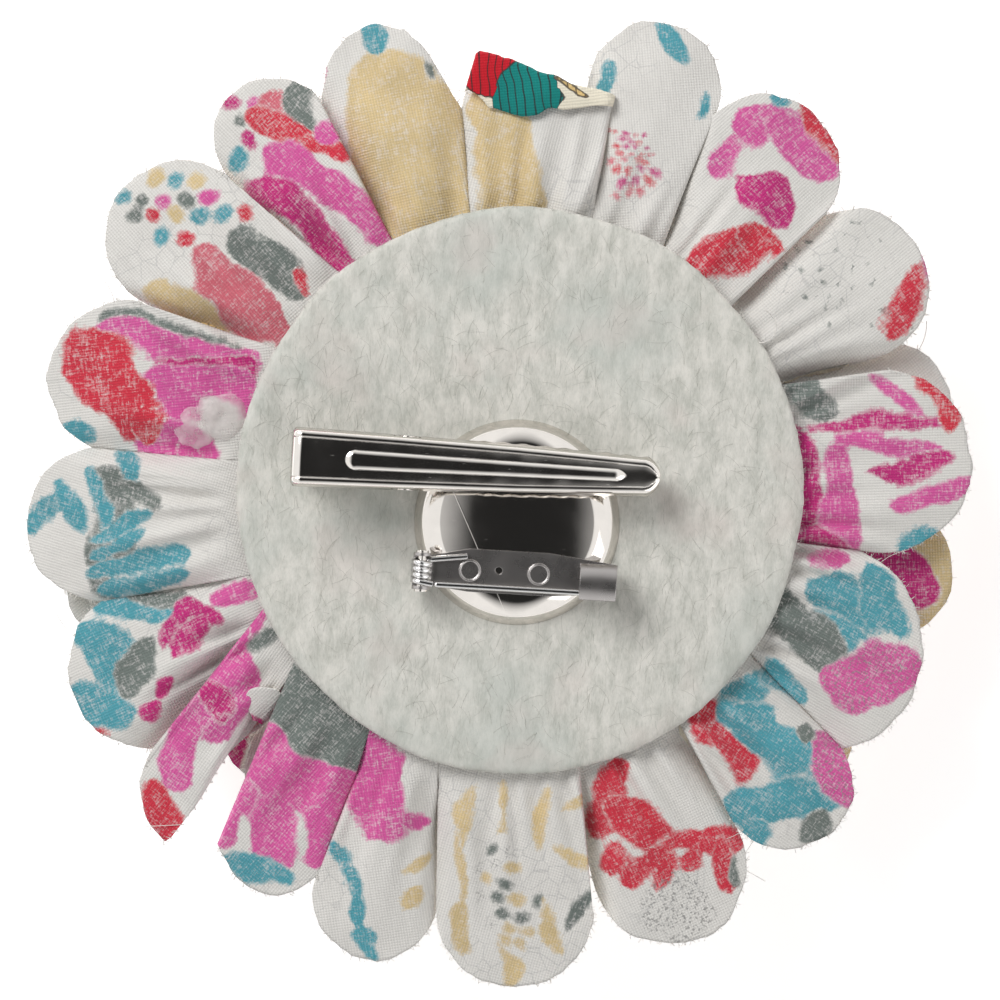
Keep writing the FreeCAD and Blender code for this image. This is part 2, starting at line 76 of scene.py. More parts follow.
# The print on each back petal, in the same order. A motif is its ink, its kind, the two ends of
# its middle line and its half width in mm. An end is a side, -1 at the petal's first notch and
# 1 at its last, and a way out, 0 at the felt's rim and 1 at the petal's tip.
BACK_PRINT = [
    [
        ("magenta", "bar", 0.8, 0.1, -0.9, 0.15, 2.2), ("pink", "bar", 0.3, 0.3, -1, 0.35, 2.4),
        ("magenta", "leaf", 0.9, 0.2, 0.6, 0.95, 0.9), ("pink", "leaf", 0.6, 0.3, 0.3, 0.9, 1.0),
        ("magenta", "leaf", 0.1, 0.5, 0.2, 0.95, 1.2), ("pink", "bar", -0.4, 0.6, -0.1, 1, 1.3),
        ("pink", "leaf", 1.3, 0.6, 0.7, 0.8, 0.8), ("magenta", "leaf", -0.7, 0.2, -1.3, 0.4, 1.3),
        ("red", "bar", 1.2, 0.85, 0.6, 0.95, 1.4), ("grey", "bar", 1.7, 0.2, 1.2, 0.3, 2.4),
        ("teal", "bar", -0.9, 0.7, -0.8, 0.85, 2.2),
    ],
    [
        ("graydot", "bar", 0.9, 0.5, 0, 0.75, 6.5), ("red", "leaf", 0.1, 1, -0.4, 0.7, 1.3),
        ("pink", "leaf", 0.2, 1.05, -0.1, 1, 0.6),
    ],
    [
        ("pink", "bar", 0.4, 0.55, 0.4, 0.7, 1.3), ("pink", "bar", 0.4, 0.75, 0, 0.9, 2.2),
        ("pink", "bar", 0, 0.85, -0.6, 0.85, 2.6), ("red", "bar", 0, 1, -0.6, 0.95, 1.6),
        ("teal", "blob", 0.3, 0.95, 0.2, 0.95, 0.9), ("magenta", "leaf", 0.1, 0.6, -0.8, 0.55, 2.6),
        ("red", "bar", -0.2, 0.1, -0.6, 0.35, 2.6), ("red", "leaf", -0.4, 0.35, -1, 0.45, 1.7),
        ("white", "leaf", -0.8, 0.1, -0.9, 0.4, 0.6),
    ],
    [
        ("pebble", "bar", 0.1, 0.55, -0.4, 0.25, 2.6), ("teal", "bar", 0.1, 0.95, -0.2, 0.9, 1.6),
        ("teal", "leaf", 1.1, 0.75, 1, 0.6, 1.0), ("teal", "blob", -0.9, 0.75, -1, 0.7, 0.6),
    ],
    [
        ("sand", "bar", 0.4, 0.6, 0.1, 0, 3.8), ("sand", "bar", 0.7, 0.8, 0.6, 0.6, 2),
    ],
    [
        ("sand", "bar", -0.1, 0.05, -0.1, 0.65, 7.7), ("sand", "bar", -1.6, 0, -1.6, 0.45, 5),
        ("white", "bar", 0.4, 1, -0.5, 0.9, 2), ("teal", "leaf", 0, 1.05, 0.1, 0.85, 1.2),
        ("grey", "leaf", -0.6, 0.8, -0.7, 0.7, 0.9), ("pink", "leaf", 0.8, 0.9, 0.9, 0.8, 0.6),
    ],
    [
        ("dots", "bar", 0.2, 1, 0.8, 0.7, 2.8), ("salmon", "bar", -0.2, 0.9, -0.6, 0.75, 1.4),
        ("red", "bar", 0.1, 0.85, -0.4, 0.65, 1.9), ("red", "bar", -0.4, 0.6, -1.1, 0.5, 1.2),
        ("grey", "leaf", -0.8, 0.9, -0.6, 0.65, 1.7), ("pink", "leaf", -0.6, 0.6, -1.3, 0.65, 1.4),
        ("pink", "bar", 0.2, 0.65, -1.1, 0.1, 2.4), ("magenta", "bar", 0.7, 0.55, 0.2, 0, 2),
    ],
    [
        ("dots", "bar", 0, 0.85, -0.3, 0.65, 6), ("sand", "bar", 0.8, 0.6, 0.7, 0.25, 2),
        ("salmon", "bar", 0.1, 0.45, 0.3, 0, 2.9), ("grey", "bar", -0.5, 0.4, -0.6, 0.05, 2.2),
        ("red", "blob", -0.7, 0.5, -0.7, 0.45, 0.8), ("red", "blob", -0.8, 0.1, -0.7, 0, 0.8),
    ],
    [
        ("grey", "bar", -0.6, 0.8, -1, 0.1, 1.4), ("pink", "bar", -0.4, 0.8, -0.9, 0, 2.1),
        ("magenta", "bar", -0.3, 0.4, -0.8, 0, 1.8), ("pink", "bar", 0.1, 0.45, -0.3, 0, 3.4),
        ("pink", "bar", 0.7, 0.4, 0.9, 0.1, 2.6), ("pink", "leaf", 0.8, 0.2, 1.5, 0.1, 1.4),
        ("white", "bar", -0.4, 0.9, -0.3, 0.5, 0.6), ("red", "bar", -0.2, 0.85, 0.4, 0.5, 3.9),
        ("red", "leaf", 0.3, 0.45, 0.8, 0.35, 1.8), ("white", "blob", 0, 0.1, 0.3, 0, 2.1),
        ("teal", "leaf", 0.7, 0.85, 0.9, 0.7, 1.4),
    ],
    [
        ("grey", "bar", -0.6, 0.55, 0.8, 0.6, 2.4), ("teal", "leaf", 0, 0.95, -0.4, 0.85, 1.2),
        ("teal", "leaf", -0.6, 0.85, 0, 0.7, 1.2), ("teal", "leaf", -0.8, 0.65, 0, 0.6, 1),
        ("teal", "leaf", -0.2, 0.35, 0.1, 0.65, 1.1), ("teal", "leaf", 0.1, 0.4, 0.4, 0.65, 1.1),
        ("teal", "leaf", 0.6, 0.15, 0.6, 0.7, 1.3), ("teal", "leaf", 0.9, 0.2, 0.9, 0.65, 1.2),
        ("teal", "blob", -1, 0.5, -0.6, 0.45, 1), ("grey", "leaf", -0.3, 0.25, -0.5, 0.5, 1.2),
        ("white", "blob", 0.4, 0.9, 0.5, 0.8, 3.3),
    ],
    [
        ("teal", "leaf", -0.8, 0.8, 0.2, 0.7, 3), ("teal", "bar", -0.9, 0.65, -0.7, 0.4, 1.7),
        ("teal", "bar", 0, 0.95, 0.4, 0.85, 2.7), ("grey", "leaf", 0.2, 0.75, -0.3, 0.5, 1.6),
        ("grey", "bar", -1, 0.5, -0.7, 0.25, 1), ("magenta", "leaf", -0.1, 0.45, -0.6, 0.35, 1),
        ("magenta", "bar", -0.6, 0.3, -0.2, 0.15, 1.6), ("pink", "bar", -0.5, 0.05, -0.5, -0.1, 1.5),
        ("magenta", "leaf", -0.3, 0.2, 0.1, 0.4, 1.3), ("magenta", "leaf", 0.4, 0.6, 0.3, 0.45, 1.1),
        ("magenta", "leaf", 0.6, 0.75, 0.5, 0.6, 1.1), ("red", "blob", 0.4, 1, 0.5, 0.95, 0.7),
    ],
    [
        ("pink", "bar", -2.7, 0, -1.4, 0.5, 3.8), ("pink", "bar", -2, 0.1, -0.7, 0.4, 3.4),
        ("pink", "bar", -1.1, 0.5, -0.4, 0.7, 2.6), ("grey", "blob", -1.9, -0.1, -1.7, 0, 1.1),
        ("white", "leaf", -1.4, 0.6, -0.9, 0.8, 1.3), ("magenta", "leaf", -1.4, 0.3, -0.6, 0.35, 1.6),
        ("red", "bar", -0.5, 0.85, 0.3, 0.95, 2.1),
    ],
    [
        ("pink", "bar", -2, 0.4, 1.5, 0.15, 6), ("grey", "bar", -3, 0.05, 0.4, 0, 4.4),
        ("pink", "leaf", -1.7, 0.5, -0.9, 0.9, 3), ("pink", "leaf", -0.6, 0.5, 0.1, 0.85, 3.3),
        ("pink", "leaf", 0.3, 0.4, 0.7, 0.7, 2.2), ("white", "leaf", -1, 0.7, -0.5, 0.9, 1.1),
        ("white", "leaf", 0.1, 0.5, 0.4, 0.75, 0.7), ("teal", "bar", -0.7, 0.95, 0.4, 0.85, 1.3),
    ],
    [
        ("pink", "bar", -1.1, 0, -0.4, 0.3, 3.5), ("white", "bar", -0.4, 0.5, 0.2, 0.9, 3.5),
        ("teal", "leaf", -1, 0.5, -0.7, 0.6, 0.8), ("teal", "leaf", -0.7, 0.6, -0.4, 0.7, 1),
        ("teal", "leaf", -0.5, 0.7, -0.2, 0.85, 1), ("teal", "blob", -0.1, 0.9, 0.1, 0.9, 1.4),
        ("teal", "leaf", 0.1, 0.95, 0.4, 1, 0.8), ("pink", "leaf", -0.1, 0.25, 0.7, 0.2, 1),
        ("sand", "leaf", 0.3, 0.5, 0.8, 0.4, 0.8), ("sand", "leaf", 0.5, 0.7, 0.8, 0.55, 1),
    ],
    [
        ("sand", "leaf", -0.7, 0, -0.8, 0.35, 0.7), ("sand", "leaf", -0.1, 0, -0.2, 0.45, 0.6),
        ("sand", "leaf", 0.6, 0, 0.4, 0.35, 0.7), ("sand", "leaf", -0.9, 0.25, -0.6, 0.6, 0.7),
        ("sand", "leaf", -0.6, 0.6, -0.6, 0.85, 1.2), ("sand", "leaf", -0.1, 0.7, -0.1, 1, 1.2),
        ("sand", "leaf", 0.3, 0.6, 0.5, 0.85, 0.8), ("sand", "leaf", 0.8, 0.15, 1.3, 0.1, 0.8),
        ("sand", "leaf", 0.6, 0.35, 1, 0.45, 0.8), ("dots2", "bar", -0.2, 0.35, 0, 0.75, 3),
        ("grey", "leaf", 1, 0.55, 0.6, 0.75, 0.9),
    ],
    [
        ("red", "bar", -0.2, 0.05, -0.6, 0.3, 2), ("red", "bar", -0.4, 0.2, 0.1, 0.5, 1.9),
        ("red", "bar", 0.1, 0.5, 0.9, 0.65, 1.5), ("red", "leaf", -0.4, 0.4, -0.7, 0.55, 1.5),
        ("red", "leaf", 0, 0.5, -0.6, 0.6, 1.4), ("red", "leaf", 0.1, 0.55, -0.2, 0.7, 1.2),
        ("red", "leaf", 0.3, 0.6, 0.1, 0.7, 1.1), ("red", "leaf", 0.7, 0.6, 0.5, 0.85, 1.7),
        ("grey", "leaf", 0.8, 0.7, 0.6, 0.85, 0.7), ("speck", "blob", -0.2, 0.8, 0, 0.85, 4.5),
    ],
    [
        ("red", "bar", -0.2, 0, -0.2, 0.2, 2.5), ("red", "bar", -0.2, 0.25, -0.3, 0.45, 2),
        ("teal", "bar", 0.7, 0.15, 1.3, 0.25, 1.7), ("teal", "bar", 1.3, 0.25, 1.7, 0.6, 1.7),
        ("teal", "bar", 0.4, 0.25, 0.5, 0.65, 3.2), ("teal", "bar", -0.8, 0.55, 0.3, 0.85, 2.8),
        ("teal", "bar", -0.8, 0.7, -0.9, 0.8, 1.5), ("white", "leaf", 0.8, 0.35, 1, 0.6, 1.2),
        ("pinkspeck", "bar", 0.8, 0.7, 0.5, 0.9, 2.2), ("grey", "bar", 0, 0.95, -0.3, 0.9, 1.5),
        ("grey", "leaf", 0.9, 0.55, 0.6, 0.6, 1.3),
    ],
    [
        ("teal", "bar", 0.2, 0.6, -0.1, 0.3, 2.8), ("teal", "bar", 0.5, 0.3, 0.3, 0.8, 2.4),
        ("teal", "leaf", 0.8, 0.5, 0.2, 0.85, 2.2), ("grey", "bar", 0.2, 0.05, -0.3, 0.55, 2.6),
        ("pinkspeck", "bar", -0.1, 0.9, -0.5, 0.65, 3.6), ("teal", "leaf", -0.7, 0.2, -0.9, 0.5, 1.6),
        ("magenta", "leaf", 0.9, 0.7, 0.7, 0.9, 1.1), ("pink", "leaf", 0.9, 0.2, 0.8, 0.4, 0.9),
    ],
]

# Inks as they show through on the cloth's back, and as printed on its front.
INKS = ("magenta", "pink", "red", "teal", "grey", "sand", "salmon", "speck")
BACK_INKS = {
    "magenta": (206, 52, 130), "pink": (224, 96, 166), "red": (218, 58, 76),
    "teal": (88, 166, 180), "grey": (120, 129, 124), "sand": (226, 202, 154),
    "salmon": (218, 112, 126), "speck": (150, 148, 146), "ground": (231, 228, 223),
}
FRONT_INKS = {
    "magenta": (190, 22, 100), "pink": (222, 80, 150), "red": (205, 28, 44),
    "teal": (18, 134, 128), "grey": (88, 100, 96), "sand": (236, 204, 140),
    "salmon": (220, 100, 100), "speck": (120, 118, 112), "ground": (240, 232, 212),
}


def linear(colour):
    """An sRGB colour of 0 to 255 as a linear colour with alpha."""
    values = [c / 255 for c in colour]
    lin = [v / 12.92 if v < 0.04045 else ((v + 0.055) / 1.055) ** 2.4 for v in values]
    return (*lin, 1.0)


# ---- node trees ----
class Graph:
    """A short way to write a material: values and sockets go in, sockets come out."""

    def __init__(self, name):
        self.material = bpy.data.materials.new(name)
        self.material.use_nodes = True
        self.tree = self.material.node_tree
        self.tree.nodes.clear()

    def node(self, kind, inputs=None, **settings):
        node = self.tree.nodes.new("ShaderNode" + kind)
        for key, value in settings.items():
            setattr(node, key, value)
        for key, value in (inputs or {}).items():
            if isinstance(value, bpy.types.NodeSocket):
                self.tree.links.new(value, node.inputs[key])
            else:
                node.inputs[key].default_value = value
        return node

    def math(self, operation, a, b=0.0, clamp=False):
        node = self.node("Math", {0: a, 1: b}, operation=operation, use_clamp=clamp)
        return node.outputs[0]

    def ramp(self, value, low, high, to_low=0.0, to_high=1.0):
        node = self.node("MapRange", {0: value, 1: low, 2: high, 3: to_low, 4: to_high})
        return node.outputs[0]

    def mix(self, share, a, b, blend="MIX"):
        node = self.node("Mix", {0: share, 6: a, 7: b}, data_type="RGBA", blend_type=blend)
        return node.outputs[2]

    def scaled(self, vector, x, y, z):
        node = self.node("VectorMath", {0: vector, 1: (x, y, z)}, operation="MULTIPLY")
        return node.outputs[0]

    def noise(self, vector, scale, detail=2.0, roughness=0.5):
        inputs = {"Vector": vector, "Scale": scale, "Detail": detail, "Roughness": roughness}
        return self.node("TexNoise", inputs).outputs["Fac"]

    def attribute(self, name):
        return self.node("Attribute", attribute_name=name)

    def place(self):
        """The point's place in the flower's frame, in millimetres."""
        return self.scaled(self.node("TexCoord").outputs["Object"], 1000, 1000, 1000)

    def bump(self, height, distance_mm, strength=1.0):
        inputs = {"Height": height, "Distance": distance_mm * MM, "Strength": strength}
        return self.node("Bump", inputs).outputs[0]

    def surface(self, **inputs):
        names = {name.replace("_", " "): value for name, value in inputs.items()}
        shader = self.node("BsdfPrincipled", names)
        output = self.node("OutputMaterial")
        self.tree.links.new(shader.outputs[0], output.inputs[0])
        return self.material


def weave_height(g, across, along, pitch):
    """Plain weave: rows of raised threads that swap from one direction to the other."""
    turn = 2 * math.pi / pitch
    warp = g.math("SINE", g.math("MULTIPLY", across, turn))
    weft = g.math("SINE", g.math("MULTIPLY", along, turn))
    return g.math("ADD", warp, weft)


def thread_shades(g, weave, across, along, pitch):
    """Light and dark threads of a plain weave: a value near 0.5 that swaps at each crossing."""
    warp = g.noise(g.scaled(weave, 4.4, 0.8, 1), 1.0, 3, 0.6)
    weft = g.noise(g.scaled(weave, 0.8, 4.4, 1), 1.0, 3, 0.6)
    turn = math.pi / pitch
    checks = g.math("MULTIPLY", g.math("SINE", g.math("MULTIPLY", across, turn)),
                    g.math("SINE", g.math("MULTIPLY", along, turn)))
    on_top = g.ramp(checks, -0.25, 0.25, 0.25, 0.75)
    both = g.node("Mix", {0: on_top, 2: warp, 3: weft}, data_type="FLOAT")
    return both.outputs[0]


def cotton_print(name, colours, reverse):
    """Printed lawn. Each ink is a field in millimetres, positive inside the printed shape."""
    g = Graph(name)
    weave = g.attribute("weave").outputs["Vector"]
    across, along, _ = g.node("SeparateXYZ", {0: weave}).outputs
    fields = []
    for layer in ("ink_a", "ink_b"):
        reader = g.attribute(layer)
        fields += list(g.node("SeparateColor", {0: reader.outputs["Color"]}).outputs)
        fields.append(reader.outputs["Alpha"])
    pitch = 0.34
    shades = thread_shades(g, weave, across, along, pitch)
    ragged = g.math("SUBTRACT", g.noise(weave, 1.7, 4, 0.6), 0.5)
    by_thread = g.math("SUBTRACT", shades, 0.5)
    jitter = g.math("ADD", g.math("MULTIPLY", ragged, 0.9 if reverse else 0.3),
                    g.math("MULTIPLY", by_thread, 1.5 if reverse else 0.2))

    blotch = g.noise(weave, 0.16, 3)
    colour = g.mix(g.ramp(blotch, 0.35, 0.75, 0.0, 0.35), linear(colours["ground"]),
                   linear([c * 0.94 for c in colours["ground"]]))
    covered = 0.0
    for ink, field in zip(INKS, fields):
        spread = 0.26 if reverse else 0.10
        mask = g.ramp(g.math("ADD", field, jitter), -spread, spread)
        if ink == "speck":
            dust = g.ramp(g.noise(weave, 2.4, 3, 0.7), 0.53, 0.60, 0.0, 0.75)
            mask = g.math("MULTIPLY", mask, dust)
        else:
            covered = g.math("MAXIMUM", covered, mask)
        shade = g.ramp(blotch, 0.3, 0.8, 0.84, 1.08)
        toned = g.node("VectorMath", {0: linear(colours[ink])[:3], 3: shade}, operation="SCALE")
        colour = g.mix(mask, colour, toned.outputs[0])
    if reverse:
        worn = g.ramp(g.noise(weave, 0.35, 3, 0.6), 0.35, 0.7, -0.05, 0.045)
        pale = g.ramp(g.math("ADD", shades, worn), 0.48, 0.66)
        colour = g.mix(g.math("MULTIPLY", g.math("MULTIPLY", covered, pale), 0.55),
                       colour, linear((236, 230, 228)))
        cells = g.node("TexVoronoi", {"Vector": weave, "Scale": 0.42}, feature="DISTANCE_TO_EDGE")
        faint = g.ramp(g.math("ADD", cells.outputs["Distance"], g.math("MULTIPLY", by_thread, 0.06)),
                       0.035, 0.012)
        faint = g.math("MULTIPLY", faint, g.math("SUBTRACT", 1.0, covered))
        patch = g.ramp(g.noise(weave, 0.09, 2), 0.52, 0.62, 0.0, 0.22)
        colour = g.mix(g.math("MULTIPLY", faint, patch), colour, linear((128, 130, 136)))
    else:
        outline = 0.0
        for field in fields[:6]:
            near = g.ramp(g.math("ABSOLUTE", g.math("ADD", field, jitter)), 0.17, 0.08)
            outline = g.math("MAXIMUM", outline, near)
        strokes = g.node("TexWave", {"Vector": weave, "Scale": 0.30, "Distortion": 7.0,
                                     "Detail": 1.0, "Detail Scale": 0.6}).outputs["Fac"]
        strokes = g.math("MULTIPLY", g.ramp(strokes, 0.90, 0.97), covered)
        outline = g.math("MAXIMUM", outline, strokes)
        colour = g.mix(g.math("MULTIPLY", outline, 0.85), colour, linear((46, 40, 42)))

    # Painted shade: a darker line along the gap between weft threads, made uneven by the slub noise,
    # scales the whole colour of the cloth.
    weft_gap_wave = g.math("SINE", g.math("MULTIPLY", along, 2 * math.pi / pitch))
    slub = g.noise(g.scaled(weave, 0.35, 2.4, 1), 1.0, 2)
    weft_gap_shade = g.ramp(g.math("ADD", weft_gap_wave, g.math("MULTIPLY", slub, 2.4)), 0.4, 2.4, 1.0, 0.86)
    height = weave_height(g, across, along, pitch)
    fuzz = g.math("MULTIPLY", g.noise(weave, 5.0, 3), 1.6)
    normal = g.bump(g.math("ADD", height, fuzz), 0.022, 0.8)
    toned = g.node("VectorMath", {0: colour, 3: weft_gap_shade}, operation="SCALE").outputs[0]
    return g.surface(Base_Color=toned, Roughness=0.92, Specular_IOR_Level=0.15,
                     Sheen_Weight=0.12, Sheen_Roughness=0.6, Normal=normal)


def felt_material():
    """Matted wool: blended fibres with soft clouds where the print below shows through."""
    g = Graph("matted_felt")
    place = g.place()
    clouds = g.noise(place, 0.055, 3, 0.6)
    fleece = g.noise(g.scaled(place, 1.0, 0.45, 1), 0.55, 5, 0.72)
    fibres = g.noise(g.scaled(place, 3.4, 0.8, 1), 1.3, 4, 0.7)
    hairs = g.noise(g.scaled(place, 9.0, 1.6, 1), 1.0, 2, 0.6)
    colour = g.mix(g.ramp(fleece, 0.38, 0.64), linear((190, 190, 181)), linear((226, 223, 215)))
    colour = g.mix(g.ramp(fibres, 0.42, 0.70, 0.0, 0.5), colour, linear((228, 227, 220)))
    colour = g.mix(g.ramp(hairs, 0.55, 0.70, 0.0, 0.22), colour, linear((170, 172, 164)))
    colour = g.mix(g.ramp(clouds, 0.46, 0.64, 0.0, 0.42), colour, linear((183, 192, 185)))
    tint = g.noise(place, 0.10, 2, 0.5)
    colour = g.mix(g.ramp(tint, 0.56, 0.70, 0.0, 0.30), colour, linear((216, 200, 194)))
    height = g.math("ADD", g.math("MULTIPLY", fleece, 1.6), fibres)
    fine = g.noise(g.scaled(place, 7, 3, 5), 1.0, 3, 0.7)
    normal = g.bump(g.math("ADD", height, g.math("MULTIPLY", fine, 0.6)), 0.09, 0.5)
    return g.surface(Base_Color=colour, Roughness=1.0, Specular_IOR_Level=0.05,
                     Sheen_Weight=0.2, Sheen_Roughness=0.7, Normal=normal)


def fibre_material():
    """Single wool fibres, lighter and more see-through than the mat they lie on."""
    g = Graph("wool_fibre")
    place = g.place()
    tone = g.ramp(g.noise(place, 0.8, 2), 0.4, 0.65)
    colour = g.mix(tone, linear((214, 213, 205)), linear((238, 237, 232)))
    return g.surface(Base_Color=colour, Roughness=1.0, Alpha=0.55, Specular_IOR_Level=0.05)


def nickel_material(name, tone, roughness, scratch, waviness=0.03, dome=None, cut=None):
    """Bright plating with rounded edges, hairline scratches and a little dullness.

    dome is the (x, y, rise per square mm) of a slightly domed face, and cut the
    (x, y, direction x, direction y) of one long scratch across it.
    """
    g = Graph(name)
    place = g.place()
    x, y, _ = g.node("SeparateXYZ", {0: place}).outputs
    smear = g.noise(place, 0.35, 3)
    hair = g.noise(g.scaled(place, 0.5, 12.0, 6.0), 1.0, 2)
    lines = g.ramp(hair, 0.74, 0.84, 0.0, 0.6)
    if cut:
        off = g.math("ADD", g.math("MULTIPLY", g.math("SUBTRACT", x, cut[0]), cut[3]),
                     g.math("MULTIPLY", g.math("SUBTRACT", y, cut[1]), -cut[2]))
        lines = g.math("MAXIMUM", lines, g.ramp(g.math("ABSOLUTE", off), 0.07, 0.03))
    rough = g.math("ADD", g.ramp(smear, 0.3, 0.8, roughness, roughness + 0.06),
                   g.math("MULTIPLY", lines, scratch))
    colour = g.mix(g.ramp(smear, 0.35, 0.75, 0.0, 0.5), linear(tone),
                   linear([c * 0.93 for c in tone]))
    dents = g.math("ADD", g.math("MULTIPLY", lines, 0.006),
                   g.math("MULTIPLY", g.noise(place, 0.16, 1), waviness))
    if dome:
        dx, dy = g.math("SUBTRACT", x, dome[0]), g.math("SUBTRACT", y, dome[1])
        square = g.math("ADD", g.math("MULTIPLY", dx, dx), g.math("MULTIPLY", dy, dy))
        dents = g.math("SUBTRACT", dents, g.math("MULTIPLY", square, dome[2]))
    rounded = g.node("Bevel", {"Radius": 0.12 * MM}, samples=4)
    inputs = {"Height": dents, "Distance": 1.0 * MM, "Strength": 1.0,
              "Normal": rounded.outputs[0]}
    normal = g.node("Bump", inputs).outputs[0]
    return g.surface(Base_Color=colour, Metallic=1.0, Roughness=rough, Normal=normal)


def plain_cloth_material(name, tone, pitch=0.35):
    """Unprinted woven cloth or twisted thread."""
    g = Graph(name)
    place = g.place()
    x, y, z = g.node("SeparateXYZ", {0: place}).outputs
    height = weave_height(g, x, g.math("ADD", y, z), pitch)
    slub = g.noise(g.scaled(place, 0.8, 4.0, 4.0), 1.0, 3)
    colour = g.mix(g.ramp(slub, 0.4, 0.7, 0.0, 0.5), linear(tone),
                   linear([min(255, c * 1.12) for c in tone]))
    normal = g.bump(height, 0.03, 0.6)
    return g.surface(Base_Color=colour, Roughness=0.9, Sheen_Weight=0.2, Normal=normal)


def speckled_material(name, tone, roughness, grain):
    """Card and set glue: a mottled tone with a fine grain."""
    g = Graph(name)
    place = g.place()
    mottle = g.noise(place, grain, 4, 0.65)
    colour = g.mix(g.ramp(mottle, 0.35, 0.7), linear([c * 0.88 for c in tone]), linear(tone))
    return g.surface(Base_Color=colour, Roughness=roughness, Normal=g.bump(mottle, 0.05, 0.5))


# ---- reading the CAD petal layers ----
def polar(radius, angle):
    turn = math.radians(angle)
    return np.array([radius * math.cos(turn), radius * math.sin(turn)])


def smooth(value, low, high):
    share = np.clip((value - low) / (high - low), 0, 1)
    return share * share * (3 - 2 * share)


def node_points(node):
    return np.array([v.co[:] for v in frame["nodes"][node].data.vertices]) / MM


def rim_of(node):
    """A layer's rim as arrays of angle and radius, anticlockwise."""
    co = node_points(node)
    walls = [p for p in frame["nodes"][node].data.polygons if abs(p.normal.z) < 0.3]
    rim = np.array(sorted({i for p in walls for i in p.vertices}))
    radius = np.hypot(co[rim, 0], co[rim, 1])
    angle = np.degrees(np.arctan2(co[rim, 1], co[rim, 0])) % 360
    outer = radius > 10
    radius, angle = radius[outer], angle[outer]
    order = np.argsort(angle)
    return angle[order], radius[order]


def notches_of(node):
    """Angles of a layer's notches: the places where its rim comes nearest the middle."""
    angle, radius = rim_of(node)
    notches = []
    for a, r in zip(angle, radius):
        gap = np.abs((angle - a + 180) % 360 - 180)
        lowest = r <= radius[gap < 5].min() + 1e-4
        if lowest and all(abs((a - n + 180) % 360 - 180) > 3 for n in notches):
            notches.append(a)
    return notches


def lobes_of(node, notches):
    """The lobes between notches, anticlockwise, as (notch, farthest point, notch) in mm."""
    angle, radius = rim_of(node)
    points = np.array([polar(r, a) for a, r in zip(angle, radius)])
    lobes = []
    for before, after in zip(notches[-1:] + notches[:-1], notches):
        ends = []
        for notch in (before, after):
            gap = np.abs((angle - notch + 180) % 360 - 180)
            ends.append(points[np.argmin(radius + 100 * (gap > 1.5))])
        inside = points[(angle - before) % 360 < (after - before) % 360]
        chord = (ends[1] - ends[0]) / np.linalg.norm(ends[1] - ends[0])
        away = (inside - ends[0]) @ np.array([chord[1], -chord[0]])
        lobes.append((ends[0], inside[np.argmax(away)], ends[1]))
    return lobes


def dome_of(node):
    """Height of a layer's middle surface over radius, both in mm, as a polynomial."""
    co = node_points(node)
    return np.poly1d(np.polyfit(np.hypot(co[:, 0], co[:, 1]), co[:, 2], 3))


def arc_through(a, m, b, shares):
    """Points of the circle through a, m and b, at shares of the way from a to b."""
    ax, ay, mx, my, bx, by = *a, *m, *b
    d = 2 * (ax * (my - by) + mx * (by - ay) + bx * (ay - my))
    sa, sm, sb = ax * ax + ay * ay, mx * mx + my * my, bx * bx + by * by
    cx = (sa * (my - by) + sm * (by - ay) + sb * (ay - my)) / d
    cy = (sa * (bx - mx) + sm * (ax - bx) + sb * (mx - ax)) / d
    start = math.atan2(ay - cy, ax - cx)
    sweep = (math.atan2(by - cy, bx - cx) - start) % (2 * math.pi)
    turn = start + shares * sweep
    radius = math.hypot(ax - cx, ay - cy)
    return np.column_stack([cx + radius * np.cos(turn), cy + radius * np.sin(turn)])


# ---- petal cloth ----
class Sheet:
    """Gathers grids of cloth into one mesh, each vertex with its print and weave place."""

    def __init__(self):
        self.points, self.faces, self.inks, self.weave = [], [], [], []

    def add(self, points, inks, weave):
        rows, cols = points.shape[:2]
        start = sum(len(p) for p in self.points)
        index = start + np.arange(rows * cols).reshape(rows, cols)
        quads = np.stack([index[:-1, :-1], index[1:, :-1], index[1:, 1:], index[:-1, 1:]], -1)
        self.points.append(points.reshape(-1, 3))
        self.faces.append(quads.reshape(-1, 4))
        self.inks.append(inks.reshape(-1, 8))
        self.weave.append(weave.reshape(-1, 3))

    def build(self, name, materials, thickness, replaced):
        points = np.concatenate(self.points) * MM
        faces = np.concatenate(self.faces)
        mesh = bpy.data.meshes.new(name)
        mesh.from_pydata(points.tolist(), [], faces.tolist())
        inks = np.concatenate(self.inks)
        for layer, part in (("ink_a", inks[:, :4]), ("ink_b", inks[:, 4:])):
            store = mesh.attributes.new(layer, "FLOAT_COLOR", "POINT")
            store.data.foreach_set("color", part.astype(np.float32).ravel())
        store = mesh.attributes.new("weave", "FLOAT_VECTOR", "POINT")
        store.data.foreach_set("vector", np.concatenate(self.weave).astype(np.float32).ravel())
        mesh.polygons.foreach_set("use_smooth", [True] * len(faces))
        for material in materials:
            mesh.materials.append(material)
        obj = bpy.data.objects.new(name, mesh)
        bpy.context.scene.collection.objects.link(obj)
        shell = obj.modifiers.new("cloth", "SOLIDIFY")
        shell.thickness = thickness * MM
        shell.offset = -1
        shell.material_offset = 1
        shell.material_offset_rim = 0
        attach(obj, "flower")
        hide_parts(replaced)
        return obj


def on_petal(motifs, index, reach):
    """A back petal's motifs with their ends as angle and radius about the flower's middle."""
    low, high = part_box("felt_backing")
    rim = (high[0] - low[0]) / 2 / MM
    first, last = BACK_SEAMS[index - 1][0], BACK_SEAMS[index][0]
    half_span = (last - first) % 360 / 2
    placed = []
    for ink, kind, side1, out1, side2, out2, half in motifs:
        ends = []
        for side, out in ((side1, out1), (side2, out2)):
            ends += [first + (1 + side) * half_span, rim + out * (reach - rim)]
        placed.append((ink, kind, *ends, half))
    return placed


